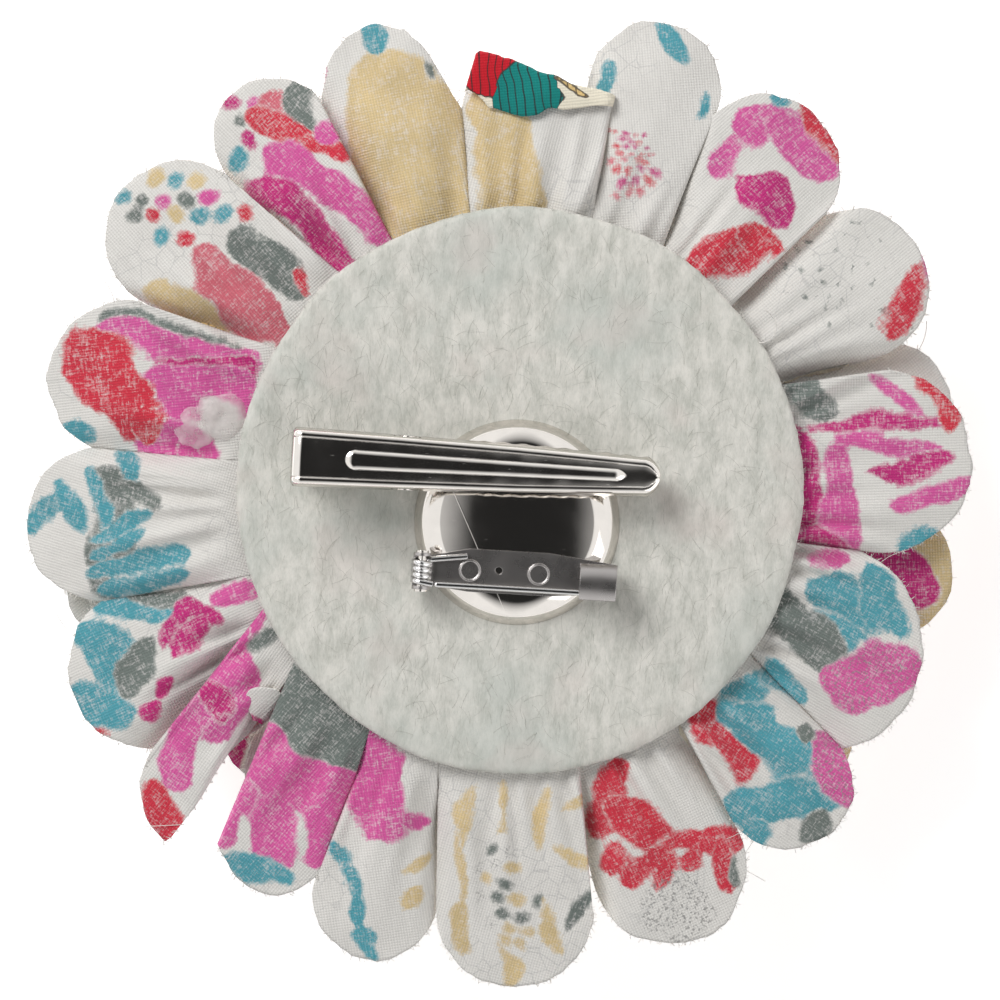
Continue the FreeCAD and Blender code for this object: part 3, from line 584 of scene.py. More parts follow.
def paint(points, motifs, wobble_seed):
    """Signed distances to each ink's shapes, in mm, later motifs over earlier ones."""
    flat = points.reshape(-1, 3)[:, :2]
    bend = np.array([noise.noise_vector((x * 0.17, y * 0.17, wobble_seed))[:2] for x, y in flat])
    drift = np.array([noise.noise((x * 0.33, y * 0.33, wobble_seed)) for x, y in flat])
    fine = np.array([noise.noise((x * 1.1, y * 1.1, wobble_seed + 7)) for x, y in flat])
    flat = flat + 1.5 * bend
    field = np.full((len(flat), len(INKS)), -3.0)
    for ink, kind, a1, r1, a2, r2, half in motifs:
        start, end = polar(r1, a1), polar(r2, a2)
        line = end - start
        length = max(float(np.linalg.norm(line)), 1e-6)
        share = np.clip((flat - start) @ line / length ** 2, 0, 1)
        away = np.linalg.norm(flat - start - share[:, None] * line, axis=1)
        belly = np.sqrt(np.clip(1 - (2 * share - 1) ** 2, 0, 1))
        width = half * (0.12 + 0.98 * belly) if kind == "leaf" else half * (0.8 + 0.27 * belly)
        inside = width - away + drift * min(0.8, 0.35 * half + 0.2) + fine * 0.3
        field = lay_down(field, flat, ink, inside, wobble_seed)
    return field.reshape(*points.shape[:2], len(INKS))


def lay_down(field, flat, ink, inside, seed):
    """One motif over what is there already; dotted inks fill their shape with spots."""
    spots = {"dots": (2.9, 1.12, ("magenta", "teal", "red", "sand", "grey", "pink")),
             "dots2": (2.1, 0.75, ("grey", "sand", "sand", "speck")),
             "graydot": (2.0, 0.3, ("grey", "speck")),
             "pebble": (1.35, 0.46, ("magenta", "salmon", "red"))}
    if ink == "pinkspeck":
        field = lay_down(field, flat, "pink", inside, seed)
        grains = inside - 0.2
        field[:, INKS.index("speck")] = np.maximum(field[:, INKS.index("speck")], grains)
        return field
    if ink in spots:
        pitch, radius, choices = spots[ink]
        field = np.minimum(field, -inside[:, None])
        for row in range(-40, 41):
            for col in range(-40, 41):
                centre = np.array([(col + 0.5 * (row % 2)) * pitch, row * pitch * 0.87])
                jitter = noise.noise_vector((col * 0.7, row * 0.7, seed))
                centre = centre + np.array([jitter.x, jitter.y]) * pitch * 0.3
                if inside[np.argmin(np.abs(flat - centre).sum(axis=1))] < radius * 0.6:
                    continue
                near = np.abs(flat - centre).sum(axis=1) < 3 * radius
                if not near.any():
                    continue
                pick = choices[int(abs(jitter.z) * 97 + row * 7 + col * 3) % len(choices)]
                spot = radius - np.linalg.norm(flat[near] - centre, axis=1)
                k = INKS.index(pick)
                field[near, k] = np.maximum(field[near, k], np.minimum(spot, inside[near]))
        return field
    if ink == "speck":
        field[:, 7] = np.maximum(field[:, 7], inside)
        return field
    field = np.minimum(field, -inside[:, None])
    if ink != "white":
        k = INKS.index(ink)
        field[:, k] = np.maximum(field[:, k], inside)
    return field


def side_height(kind, on_top, distance):
    """Lift of the cloth near one seam, in mm, at a distance from it; negative is beneath."""
    if kind == "soft":
        return -1.1 * (1 - smooth(distance, 0.0, 4.5))
    if on_top:
        lip = 0.55 * (1 - smooth(distance, 0.5, 4.0))
        return lip - 1.1 * (1 - smooth(distance, -0.6, 0.7))
    return -2.0 * (1 - smooth(distance, -0.5, 6.0))


def petal_cloth(lobe, inner, sides, dome, cell, amplitude, seed, rows_from=6.0, outline=None):
    """A petal's grid of points: straight strips of cloth from the hub to the lobe's edge.

    inner holds the angles of its two seams near the felt, sides their (kind, on top).
    """
    a, tip, b = lobe
    chord = max(float(np.linalg.norm(b - a)), 14.0)
    length = float(np.linalg.norm(tip)) - 30
    cols = max(14, int(chord / cell))
    under = 2.6 / chord
    low = -under if sides[0][0] != "soft" and not sides[0][1] else 0.0
    high = 1 + (under if sides[1][0] != "soft" and not sides[1][1] else 0.0)
    u = np.linspace(low, high, cols + 1)
    rim = outline(u) if outline else arc_through(a, tip, b, u)
    spare = np.maximum(np.maximum(-u, u - 1), 0) / under
    rim = rim * (1 - 0.07 * spare)[:, None]
    ruffle = np.array([noise.noise((p[0] * 0.25, p[1] * 0.25, seed)) * 0.55
                       + noise.noise((p[0] * 0.9, p[1] * 0.9, seed)) * 0.22 for p in rim])
    outward = rim / np.linalg.norm(rim, axis=1)[:, None]
    rim = rim + outward * ruffle[:, None]
    sweep = (inner[1] - inner[0]) % 360
    base = np.array([polar(30.0, inner[0] + sweep * s) for s in u])
    hub = np.array([polar(rows_from, inner[0] + sweep * s) for s in u])
    fine = np.linspace(0, 1, max(12, int(length / cell)) + 1)[1:]
    grid = [hub * (1 - t) + base * t for t in np.linspace(0, 1, 7)]
    grid += [base * (1 - t) + rim * t for t in fine]
    flat = np.array(grid)
    radius = np.linalg.norm(flat, axis=2)
    across = np.linalg.norm(np.diff(flat, axis=1), axis=2).sum(axis=1) / (high - low)
    first = u[None, :] * across[:, None]
    last = (1 - u)[None, :] * across[:, None]
    crown = 0.75 * np.sin(np.pi * np.clip(u, 0, 1)) ** 0.7
    height = crown[None, :] + side_height(*sides[0], first) + side_height(*sides[1], last)
    swell = 0.22 + 1.15 * smooth(radius, 33, 41) - 0.5 * smooth(radius, 46, 60)
    pleats = np.zeros(radius.shape)
    ripple = np.zeros(radius.shape)
    for i in range(radius.shape[0]):
        for j in range(radius.shape[1]):
            turn = math.atan2(flat[i, j, 1], flat[i, j, 0])
            r = radius[i, j]
            pleats[i, j] = noise.noise((turn * 11, r * 0.03, seed + 3.1))
            ripple[i, j] = noise.noise((flat[i, j, 0] * 0.12, flat[i, j, 1] * 0.12, seed))
    pinch = (1 - smooth(radius, 40, 55)) * smooth(radius, 33, 38)
    gathers = np.sin(6 * pleats) * 0.8
    z = dome(radius) + 0.4 + amplitude * (swell * height + gathers * pinch
                                          + 1.1 * ripple * smooth(radius, 40, 60))
    return np.dstack([flat, z]), u


def weave_places(points, turn_deg):
    """Thread-aligned coordinates in mm, turned to the petal's own cut."""
    turn = math.radians(turn_deg)
    x, y = points[..., 0], points[..., 1]
    across = x * math.cos(turn) + y * math.sin(turn)
    along = -x * math.sin(turn) + y * math.cos(turn)
    return np.stack([across, along, np.zeros_like(x) + turn_deg], -1)


def back_petals(materials):
    lobes = lobes_of("petal_layer_1", [seam[0] for seam in BACK_SEAMS])
    dome = dome_of("petal_layer_1")
    sheet = Sheet()
    cell = 0.42
    rims = []
    for i, lobe in enumerate(lobes):
        before, after = BACK_SEAMS[i - 1], BACK_SEAMS[i]
        sides = ((before[2], before[2] == "second"), (after[2], after[2] == "first"))
        lobe = list(lobe)
        for end, place in ((0, 0), (1, 2)):
            if (i, end) in CUT_ENDS:
                lobe[place] = polar(*reversed(CUT_ENDS[i, end]))
        outline = edge_of(i) if i in OUTLINES else None
        points, u = petal_cloth(lobe, (before[1], after[1]), sides, dome, cell, 1.0, i * 3.7,
                                outline=outline)
        middle = math.degrees(math.atan2(lobe[1][1], lobe[1][0]))
        inks = paint(points, on_petal(BACK_PRINT[i], i, float(np.linalg.norm(lobe[1]))), i * 1.9)
        sheet.add(points, inks, weave_places(points, middle + WEAVE_TURNS[i % 5]))
        rims.append(points[-1])
        if i == FOLDED:
            add_fold(sheet, points, u, middle)
        if i == EDGE_TURNED:
            rows = slice(int(len(points) * 0.70), int(len(points) * 0.93))
            depth = np.interp(np.linspace(0, 1, rows.stop - rows.start), [0, 0.3, 1], [0.6, 1.9, 1.5])
            motifs = [("teal", "bar", 79, 60, 78, 53, 1.6), ("red", "bar", 77.5, 52.5, 77, 50, 1.5)]
            turned_over(sheet, points[rows, -1], depth, 0.3, motifs, middle, polar(56, 72))
        if i == ROLLED:
            rows = slice(int(len(points) * 0.52), int(len(points) * 0.86))
            share = np.linspace(0, 1, rows.stop - rows.start)
            depth = 0.5 + 2.6 * np.sin(np.pi * share) ** 0.8
            motifs = [("magenta", "bar", 226, 44, 228, 56, 5.0)]
            turned_over(sheet, points[rows, -1], depth, 0.7, motifs, middle, polar(52, 218), 0.8)
    obj = sheet.build("petals_back", materials, 0.28, "petal_layer_1")
    return obj, rims


# Places in BACK_SEAMS' order of the petal folded at its tip, and of two turned at one side.
FOLDED, EDGE_TURNED, ROLLED = 4, 3, 11
WEAVE_TURNS = (0, 12, -9, 25, -20)

# Petals whose edge is not one plain arc: share of the way along the edge, angle and radius.
OUTLINES = {
    4: [(0, 77.3, 51.5), (0.86, 96.0, 55.8), (1, 98.6, 49.0)],
    5: [(0, 98.5, 49.0), (0.2, 102, 55.9), (0.36, 104.5, 59.7), (0.52, 107.5, 61.5),
        (0.7, 111.5, 60.8), (0.86, 114.8, 58.3), (1, 117.2, 54.4)],
    11: [(0, 219, 53), (0.22, 221.3, 57), (0.48, 225.8, 59.6), (0.62, 229.2, 59.2),
         (0.8, 228.6, 53.5), (1, 226.4, 46.0)],
}

# Notches that are cut deeper, or lie a little aside of, where the plain outline has them:
# (petal, end) with the end 0 for its first and 1 for its last, to the angle and radius.
CUT_ENDS = {
    (0, 1): (22, 51), (1, 0): (24, 50.5), (2, 1): (64.5, 51.5), (3, 0): (64.5, 51.5),
    (3, 1): (81, 56), (6, 1): (133, 51.5), (7, 0): (133, 51.5), (7, 1): (154, 49.5),
    (8, 0): (154, 49.5), (12, 1): (248, 48.3), (13, 0): (248, 48.3), (14, 1): (286.5, 51.3),
    (15, 0): (287.5, 51.3), (15, 1): (309.5, 49.3), (16, 0): (309.5, 49.3),
}


def edge_of(index):
    """The edge of a petal listed in OUTLINES, as a function of the share along it."""
    knots = OUTLINES[index]
    shares = [k[0] for k in knots]
    points = np.array([polar(k[2], k[1]) for k in knots])

    def edge(u):
        u = np.clip(u, 0, 1)
        return np.column_stack([np.interp(u, shares, points[:, i]) for i in (0, 1)])
    return edge


def add_fold(sheet, points, u, middle):
    """The tip turned over towards the felt, so its bright front faces out."""
    keep = u <= 0.87
    line, u = points[-1][keep], u[keep] / 0.87
    depth = np.interp(u, [0, 0.08, 0.4, 0.45, 0.6, 0.79, 0.91, 1.0],
                      [0.8, 1.3, 3.4, 4.6, 5.7, 6.0, 4.8, 4.4])
    motifs = [("red", "bar", 97, 54.6, 92.0, 53, 3.0), ("teal", "leaf", 93.5, 50.6, 84.8, 50.2, 3.6),
              ("sand", "leaf", 81, 51.4, 85, 52, 0.3)]
    turned_over(sheet, line, depth, 0.35, motifs, middle + 90)


def turned_over(sheet, line, depth, bend, motifs, turn_deg, target=(0.0, 0.0), lift=0.25):
    """Cloth folded back over itself along a line of edge points, depth mm towards target."""
    along = line[-1, :2] - line[0, :2]
    along = along / np.linalg.norm(along)
    inward = np.array([-along[1], along[0]])
    if inward @ (np.array(target) - line.mean(axis=0)[:2]) < 0:
        inward = -inward
    rows = []
    for phi in np.linspace(-80, 90, 7):
        turn = math.radians(phi)
        flat = line[:, :2] - inward * bend * math.cos(turn)
        rows.append(np.column_stack([flat, line[:, 2] + bend + bend * math.sin(turn)]))
    for t in np.linspace(0, 1, 15)[1:]:
        flat = line[:, :2] + inward * (depth * t)[:, None]
        rise = 0.8 * t * (1 - t) + lift * t
        rows.append(np.column_stack([flat, line[:, 2] + 2 * bend + rise + 0.07 * depth * t]))
    grid = np.array(rows)
    sheet.add(grid, paint(grid, motifs, 4.4), weave_places(grid, turn_deg))


def lower_layer(number, materials, count_seed, cell, amplitude):
    """One of the layers nearer the front; each petal lies over the one before it."""
    node = "petal_layer_%d" % number
    draw = np.random.default_rng(count_seed)
    dome = dome_of(node)
    sheet = Sheet()
    rims = []
    for i, lobe in enumerate(lobes_of(node, notches_of(node))):
        tip_angle = math.degrees(math.atan2(lobe[1][1], lobe[1][0])) % 360
        size, turn, ground = 0.83 if number == 2 else 0.94, 0.0, None
        for seen in SEEN_BETWEEN if number == 2 else ():
            if abs((tip_angle - seen[0] + 180) % 360 - 180) < 8:
                size, turn, ground = seen[1:]
        lobe = [turned_point(p * size, turn) for p in lobe]
        ends = [math.degrees(math.atan2(p[1], p[0])) for p in (lobe[0], lobe[2])]
        points, u = small_petal(lobe, ends, dome, cell, amplitude, count_seed + i * 2.3)
        motifs = random_print(lobe, draw)
        if ground:
            motifs = [(ground, "bar", tip_angle + turn, 34, tip_angle + turn, 60, 12)] + motifs[:2]
        inks = paint(points, motifs, count_seed + i)
        middle = math.degrees(math.atan2(lobe[1][1], lobe[1][0]))
        sheet.add(points, inks, weave_places(points, middle + draw.uniform(-30, 30)))
        rims.append(points[-1])
    return sheet.build("petals_%d" % number, materials, 0.28, node), rims


# Second-layer petals that show between the back petals: their own angle, how long they are
# compared with the CAD lobe, how far they are turned, and the ink that covers them.
SEEN_BETWEEN = [
    (17, 1.0, -0.6, "white"), (357, 0.99, -4.0, "sand"), (317, 0.93, 8.5, "sand"),
    (77, 0.89, 1.5, "sand"), (197, 0.95, -1.5, "white"),
]


def turned_point(point, degrees):
    turn = math.radians(degrees)
    c, s = math.cos(turn), math.sin(turn)
    return np.array([c * point[0] - s * point[1], s * point[0] + c * point[1]])


def small_petal(lobe, ends, dome, cell, amplitude, seed):
    a, tip, b = lobe
    chord = float(np.linalg.norm(b - a))
    reach = float(np.linalg.norm(tip))
    under = 2.2 / chord
    u = np.linspace(-under, 1, max(10, int(chord / cell)) + 1)
    rim = arc_through(a, tip, b, u)
    sweep = (ends[1] - ends[0]) % 360
    hub = np.array([polar(6.0, ends[0] + sweep * s) for s in u])
    ruffle = np.array([noise.noise((p[0] * 0.3, p[1] * 0.3, seed)) * 0.6 for p in rim])
    rim = rim + rim / np.linalg.norm(rim, axis=1)[:, None] * ruffle[:, None]
    shares = np.linspace(0, 1, max(16, int(reach / cell)) + 1)
    flat = np.array([hub * (1 - t) + rim * t for t in shares])
    radius = np.linalg.norm(flat, axis=2)
    out = smooth(radius / reach, 0.25, 1.0)
    tilt = np.clip(u, -0.2, 1)[None, :] * 1.7 - 0.85
    wave = np.array([[noise.noise((p[0] * 0.09, p[1] * 0.09, seed)) for p in row] for row in flat])
    curl = 1.3 * smooth(radius / reach, 0.8, 1.05) * math.sin(seed * 5.1)
    crown = np.sin(np.pi * np.clip(u, 0, 1))[None, :]
    z = dome(radius) + 0.4 + amplitude * out * (tilt + 0.9 * crown + 1.5 * wave + curl)
    return np.dstack([flat, z]), u


def random_print(lobe, draw):
    """A few leaves and bars of ink scattered over one petal."""
    tip = lobe[1]
    middle = math.degrees(math.atan2(tip[1], tip[0]))
    reach = float(np.linalg.norm(tip))
    motifs = []
    for _ in range(9):
        ink = INKS[draw.integers(0, 7)]
        kind = ("bar", "leaf", "leaf", "blob")[draw.integers(0, 4)]
        a1 = middle + draw.uniform(-11, 11)
        r1 = reach * draw.uniform(0.45, 1.0)
        motifs.append((ink, kind, a1, r1, a1 + draw.uniform(-8, 8),
                       r1 + draw.uniform(-7, 7), draw.uniform(0.8, 3.6)))
    return motifs


# ---- loose threads ----
def thread_tube(path, radius, faces_out, points_out):
    """A thin three-sided thread along a path, in mm."""
    start = len(points_out)
    count = len(path)
    for i, p in enumerate(path):
        ahead = path[min(i + 1, count - 1)] - path[max(i - 1, 0)]
        ahead = ahead / (np.linalg.norm(ahead) + 1e-9)
        side = np.cross(ahead, (0.0, 0.0, 1.0))
        side = side / (np.linalg.norm(side) + 1e-9)
        up = np.cross(side, ahead)
        for k in range(3):
            turn = 2 * math.pi * k / 3
            points_out.append(p + radius * (math.cos(turn) * side + math.sin(turn) * up))
    for i in range(count - 1):
        for k in range(3):
            a, b = start + 3 * i + k, start + 3 * i + (k + 1) % 3
            faces_out.append((a, b, b + 3, a + 3))
    end = start + 3 * (count - 1)
    faces_out.append((start + 2, start + 1, start))
    faces_out.append((end, end + 1, end + 2))


def mesh_object(name, points, faces, material, body="flower", smooth_faces=True):
    mesh = bpy.data.meshes.new(name)
    mesh.from_pydata((np.array(points) * MM).tolist(), [], [tuple(f) for f in faces])
    mesh.polygons.foreach_set("use_smooth", [smooth_faces] * len(mesh.polygons))
    mesh.materials.append(material)
    obj = bpy.data.objects.new(name, mesh)
    bpy.context.scene.collection.objects.link(obj)
    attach(obj, body)
    return obj


def frayed_edges(name, rims, material, per_mm, long_share):
    """Thread ends that stick out of the cut edges."""
    points, faces = [], []
    for rim in rims:
        steps = np.linalg.norm(np.diff(rim[:, :2], axis=0), axis=1)
        total = steps.sum()
        for _ in range(int(total * per_mm)):
            at = rng.uniform(0, total)
            i = int(np.searchsorted(np.cumsum(steps), at))
            i = min(max(i, 0), len(rim) - 2)
            here = rim[i]
            tangent = rim[i + 1] - rim[i]
            tangent = tangent / (np.linalg.norm(tangent) + 1e-9)
            out = np.array([tangent[1], -tangent[0], 0.0])
            if out @ here < 0:
                out = -out
            lean = rng.uniform(-0.9, 0.9)
            heading = out + tangent * lean + np.array([0, 0, rng.uniform(-0.3, 0.1)])
            heading = heading / np.linalg.norm(heading)
            long = rng.random() < long_share
            length = rng.uniform(2.2, 5.0) if long else rng.uniform(0.35, 0.95)
            curl = tangent * rng.uniform(-1, 1) * (0.5 if long else 0.25)
            path = [here - out * 0.3 + heading * length * t + curl * length * t * t
                    for t in np.linspace(0, 1, 7 if long else 4)]
            thread_tube(path, rng.uniform(0.03, 0.055), faces, points)
    return mesh_object(name, points, faces, material)


def loose_thread(material):
    """One long end that has worked loose beside the felt and lies curled on a petal."""
    points, faces = [], []
    path = [np.array([31.6 + 0.9 * t + 1.3 * math.sin(5.2 * t), 24.6 - 3.4 * t + 0.9 * math.cos(5.2 * t),
                      26.2 + 0.5 * math.sin(2 * t)]) for t in np.linspace(0, 1, 24)]
    thread_tube(path, 0.08, faces, points)
    mesh_object("loose_thread", points, faces, material)


def glue_smears(material):
    """Clear glue that has squeezed out past the felt onto the gathered petals."""
    points, faces = [], []
    for x, y, size in ((-38.0, 6.9, 2.6), (-34.6, 8.6, 2.9), (-36.4, 9.4, 1.6)):
        start = len(points)
        height = dome_of("petal_layer_1")(math.hypot(x, y)) + 0.5
        for ring in range(1, 9):
            share = ring / 8
            for k in range(32):
                turn = 2 * math.pi * k / 32
                uneven = 1 + 0.2 * noise.noise((2 * math.cos(turn), 2 * math.sin(turn), x))
                r = size * share * uneven
                points.append((x + r * math.cos(turn), y + r * math.sin(turn),
                               height + 0.75 * math.sqrt(1 - share ** 2) + 0.05 * size))
        faces.append(tuple(start + k for k in range(32)))
        for ring in range(7):
            for k in range(32):
                a, b = start + 32 * ring, start + 32 * (ring + 1)
                faces.append((a + k, b + k, b + (k + 1) % 32, a + (k + 1) % 32))
    mesh_object("glue_smears", points, faces, material)


def clear_glue_material():
    g = Graph("clear_glue")
    cloud = g.ramp(g.noise(g.place(), 0.7, 3), 0.35, 0.7, 0.26, 0.5)
    return g.surface(Base_Color=linear((232, 224, 222)), Roughness=0.28, Alpha=cloud)


# ---- felt ----
def felt_disc(material):
    """The backing: a cut disc of felt with a soft, slightly uneven edge."""
    low, high = (np.array(p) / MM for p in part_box("felt_backing"))
    centre, radius = (low + high) / 2, (high[0] - low[0]) / 2
    around = 360
    rings = [0, 4, 8, 12, 16, 20, 24, 28, 31, 33, 34.2, 34.7, 35.0, 35.05, 34.9, 34.5]
    drops = [0, 0, 0, 0, 0, 0, 0, 0, 0.01, 0.04, 0.12, 0.3, 0.6, 0.85, 1.1, 1.2]
    points, faces = [], []
    for ring, drop in zip(rings, drops):
        for k in range(around):
            turn = 2 * math.pi * k / around
            x, y = math.cos(turn), math.sin(turn)
            uneven = 0.35 * noise.noise((x * 4, y * 4, 1.5)) + 0.12 * noise.noise((x * 25, y * 25, 4))
            r = ring / 35 * radius + uneven * smooth(ring, 25, 35) * 1.0
            lump = 0.10 * noise.noise((x * ring * 0.2, y * ring * 0.2, 9.0)) * (drop < 0.5)
            points.append((centre[0] + r * x, centre[1] + r * y, high[2] - drop - abs(lump)))
    for i in range(len(rings) - 1):
        for k in range(around):
            n = (k + 1) % around
            faces.append((i * around + k, (i + 1) * around + k,
                          (i + 1) * around + n, i * around + n))
    last = (len(rings) - 1) * around
    faces.append(tuple(last + k for k in reversed(range(around))))
    obj = mesh_object("felt_back", points, faces, material)
    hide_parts("felt_backing")
    return centre, radius, high[2]


def felt_fibres(material, centre, radius, top):
    """Loose fibres lying on the felt and standing out from its cut edge."""
    points, faces = [], []
    for _ in range(1500):
        r, turn = radius * math.sqrt(rng.random()) * 0.99, rng.uniform(0, 2 * math.pi)
        here = np.array([centre[0] + r * math.cos(turn), centre[1] + r * math.sin(turn), top])
        lean = rng.normal(0, 0.6)
        heading = np.array([math.sin(lean), math.cos(lean), 0])
        bend = np.array([math.cos(lean), -math.sin(lean), 0]) * rng.uniform(-0.6, 0.6)
        length = rng.uniform(0.8, 2.6)
        path = [here + heading * length * t + bend * length * t * t
                + np.array([0, 0, 0.03 * math.sin(math.pi * t) - 0.01])
                for t in np.linspace(0, 1, 5)]
        if max(np.linalg.norm(p[:2] - centre[:2]) for p in path) < radius - 0.2:
            thread_tube(path, rng.uniform(0.012, 0.022), faces, points)
    for _ in range(700):
        turn = rng.uniform(0, 2 * math.pi)
        out = np.array([math.cos(turn), math.sin(turn), 0])
        here = centre * (1, 1, 0) + out * (radius - 0.15) + np.array([0, 0, top - rng.uniform(0.2, 1)])
        side = np.array([-out[1], out[0], 0]) * rng.uniform(-1, 1)
        length = rng.uniform(0.2, 0.75)
        path = [here + (out + side * t) * length * t for t in np.linspace(0, 1, 4)]
        thread_tube(path, 0.022, faces, points)
    return mesh_object("felt_fibres", points, faces, material)


# ---- cushion and thread inside the flower ----
def padded_cushion(material, seam_material):
    """The round cushion at the flower's heart: its cover blown out over the filling."""
    cover = frame["nodes"]["cushion_cover"]
    mesh = cover.data.copy()
    obj = bpy.data.objects.new("centre_cushion", mesh)
    bpy.context.scene.collection.objects.link(obj)
    obj.matrix_world = cover.matrix_world.copy()
    bpy.context.view_layer.objects.active = obj
    remesh = obj.modifiers.new("even", "REMESH")
    remesh.mode = "VOXEL"
    remesh.voxel_size = 0.9 * MM
    apply_modifier(obj, remesh)
    inflate(obj)
    smoothed = obj.modifiers.new("smoothed", "SUBSURF")
    smoothed.levels = smoothed.render_levels = 1
    obj.data.materials.clear()
    obj.data.materials.append(material)
    obj.data.polygons.foreach_set("use_smooth", [True] * len(obj.data.polygons))
    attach(obj, "flower")
    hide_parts("cushion_cover", "cushion_filling")
    running_stitch(obj, seam_material)
    return obj


def apply_modifier(obj, modifier):
    with bpy.context.temp_override(object=obj, active_object=obj, selected_objects=[obj]):
        bpy.ops.object.modifier_apply(modifier=modifier.name)


def inflate(obj):
    """Cloth under a little pressure, so that it wrinkles over its filling."""
    scene = bpy.context.scene
    cloth = obj.modifiers.new("padding", "CLOTH")
    cloth.settings.quality = 4
    cloth.settings.mass = 0.15
    cloth.settings.tension_stiffness = 12
    cloth.settings.shear_stiffness = 5
    cloth.settings.bending_stiffness = 0.05
    cloth.settings.use_pressure = True
    cloth.settings.uniform_pressure_force = 4.0
    cloth.settings.effector_weights.gravity = 0
    cloth.point_cache.frame_start = 1
    cloth.point_cache.frame_end = 20
    start = [v.co.copy() for v in obj.data.vertices]
    for step in range(1, 21):
        scene.frame_set(step)
    graph = bpy.context.evaluated_depsgraph_get()
    done = obj.evaluated_get(graph).data
    for vertex, before, after in zip(obj.data.vertices, start, done.vertices):
        move = after.co - before
        if move.length > 0.6 * MM:
            move = move.normalized() * 0.6 * MM
        vertex.co = before + move
    obj.modifiers.remove(cloth)
    scene.frame_set(1)


def running_stitch(obj, material):
    """Gathering stitches around the cushion's seam."""
    low, high = (np.array(p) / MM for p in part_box("cushion_cover"))
    centre, radius = (low + high) / 2, (high[0] - low[0]) / 2
    points, faces = [], []
    count = 30
    for k in range(count):
        a0, a1 = 2 * math.pi * k / count, 2 * math.pi * (k + 0.6) / count
        path = []
        for t in np.linspace(0, 1, 6):
            turn = a0 * (1 - t) + a1 * t
            out = radius * 0.985 + 0.25 * math.sin(math.pi * t)
            path.append(np.array([centre[0] + out * math.cos(turn),
                                  centre[1] + out * math.sin(turn), high[2] - 1.6]))
        thread_tube(path, 0.16, faces, points)
    return mesh_object("cushion_stitches", points, faces, material)


def gathering_thread(material):
    """The doubled thread through the middle of the layers, as two twisted plies."""
    low, high = (np.array(p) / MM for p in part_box("gathering_thread"))
    half, bend = (high[0] - low[0]) / 2 - 0.4, 1.6
    centre = (low + high) / 2
    points, faces = [], []
    line = []
    for t in np.linspace(0, 1, 40):
        line.append(np.array([half, 0, low[2] + bend + (high[2] - low[2] - 2 * bend) * t]))
    for t in np.linspace(0, math.pi, 16)[1:-1]:
        line.append(np.array([half * math.cos(t), 0, high[2] - bend + (bend - 0.4) * math.sin(t)]))
    for t in np.linspace(1, 0, 40):
        line.append(np.array([-half, 0, low[2] + bend + (high[2] - low[2] - 2 * bend) * t]))
    for t in np.linspace(math.pi, 2 * math.pi, 16)[1:]:
        line.append(np.array([half * math.cos(t), 0, low[2] + bend + (bend - 0.4) * math.sin(t)]))
    for ply in (0, math.pi):
        path = []
        for i, p in enumerate(line):
            turn = ply + i * 0.8
            path.append(p + np.array([centre[0] + 0.19 * math.cos(turn),
                                      centre[1] + 0.19 * math.sin(turn), 0]))
        thread_tube(path, 0.2, faces, points)
    obj = mesh_object("gathering_stitch", points, faces, material)
    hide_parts("gathering_thread")


# ---- hardware kept from the CAD ----
def dress(node, material):
    """Keeps a CAD node's shape and gives it a material."""
    obj = frame["nodes"][node]
    obj.data.materials.clear()
    obj.data.materials.append(material)


def clip_arm(material):
    """The clip's upper arm: one pressed strip with a rounded back, a rib and toothed skirts."""
    low, high = (np.array(p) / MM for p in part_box("clip_upper_jaw"))
    pivot = np.array(joint_place("clip_squeeze"))
    middle, length = (low[1] + high[1]) / 2, high[0] - low[0]
    roof = high[2]
    rows = []
    steps = np.concatenate([np.linspace(0, 0.03, 9), np.linspace(0.035, 0.95, 210),
                            0.95 + 0.05 * np.sin(np.linspace(0, math.pi / 2, 26)[1:])])
    for t in steps:
        x = low[0] + t * length
        half = np.interp(t, [0, 0.3, 0.62, 0.95, 1], [3.05, 2.8, 2.45, 1.85, 1.8])
        nose = max(0.0, (t - 0.962) / 0.038)
        half *= math.sqrt(max(1 - nose ** 2, 0.0015))
        top = np.interp(t, [0, 0.307, 1], [roof - 0.15, roof - 1.2, roof - 3.7])
        tail = max(0.0, 1 - t / 0.024)
        top -= 0.9 * (1 - math.sqrt(max(1 - tail ** 2, 0)))
        foot = np.interp(t, [0, 0.229, 0.408, 0.4955, 1], np.array([2.0, 2.9, 3.1, 5.0, 4.95]))
        foot = roof - foot
        ear = 1.6 ** 2 - (x - pivot[0]) ** 2
        if ear > 0:
            foot = min(foot, pivot[2] - math.sqrt(ear))
        bite = 0.5 + 0.5 * math.cos(2 * math.pi * (x - high[0]) / 2.55)
        bite *= float(smooth(t, 0.50, 0.53))
        foot += 0.55 * bite
        rows.append(arm_section(x, middle, half, top, foot, t, bite))
    grid = np.array(rows)
    count, across = grid.shape[:2]
    index = np.arange(count * across).reshape(count, across)
    quads = np.stack([index[:-1, :-1], index[1:, :-1], index[1:, 1:], index[:-1, 1:]], -1)
    obj = mesh_object("clip_arm_shell", grid.reshape(-1, 3), quads.reshape(-1, 4),
                      material, "clip_arm")
    shell = obj.modifiers.new("sheet", "SOLIDIFY")
    shell.thickness = 0.4 * MM
    shell.offset = -1
    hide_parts("clip_upper_jaw")


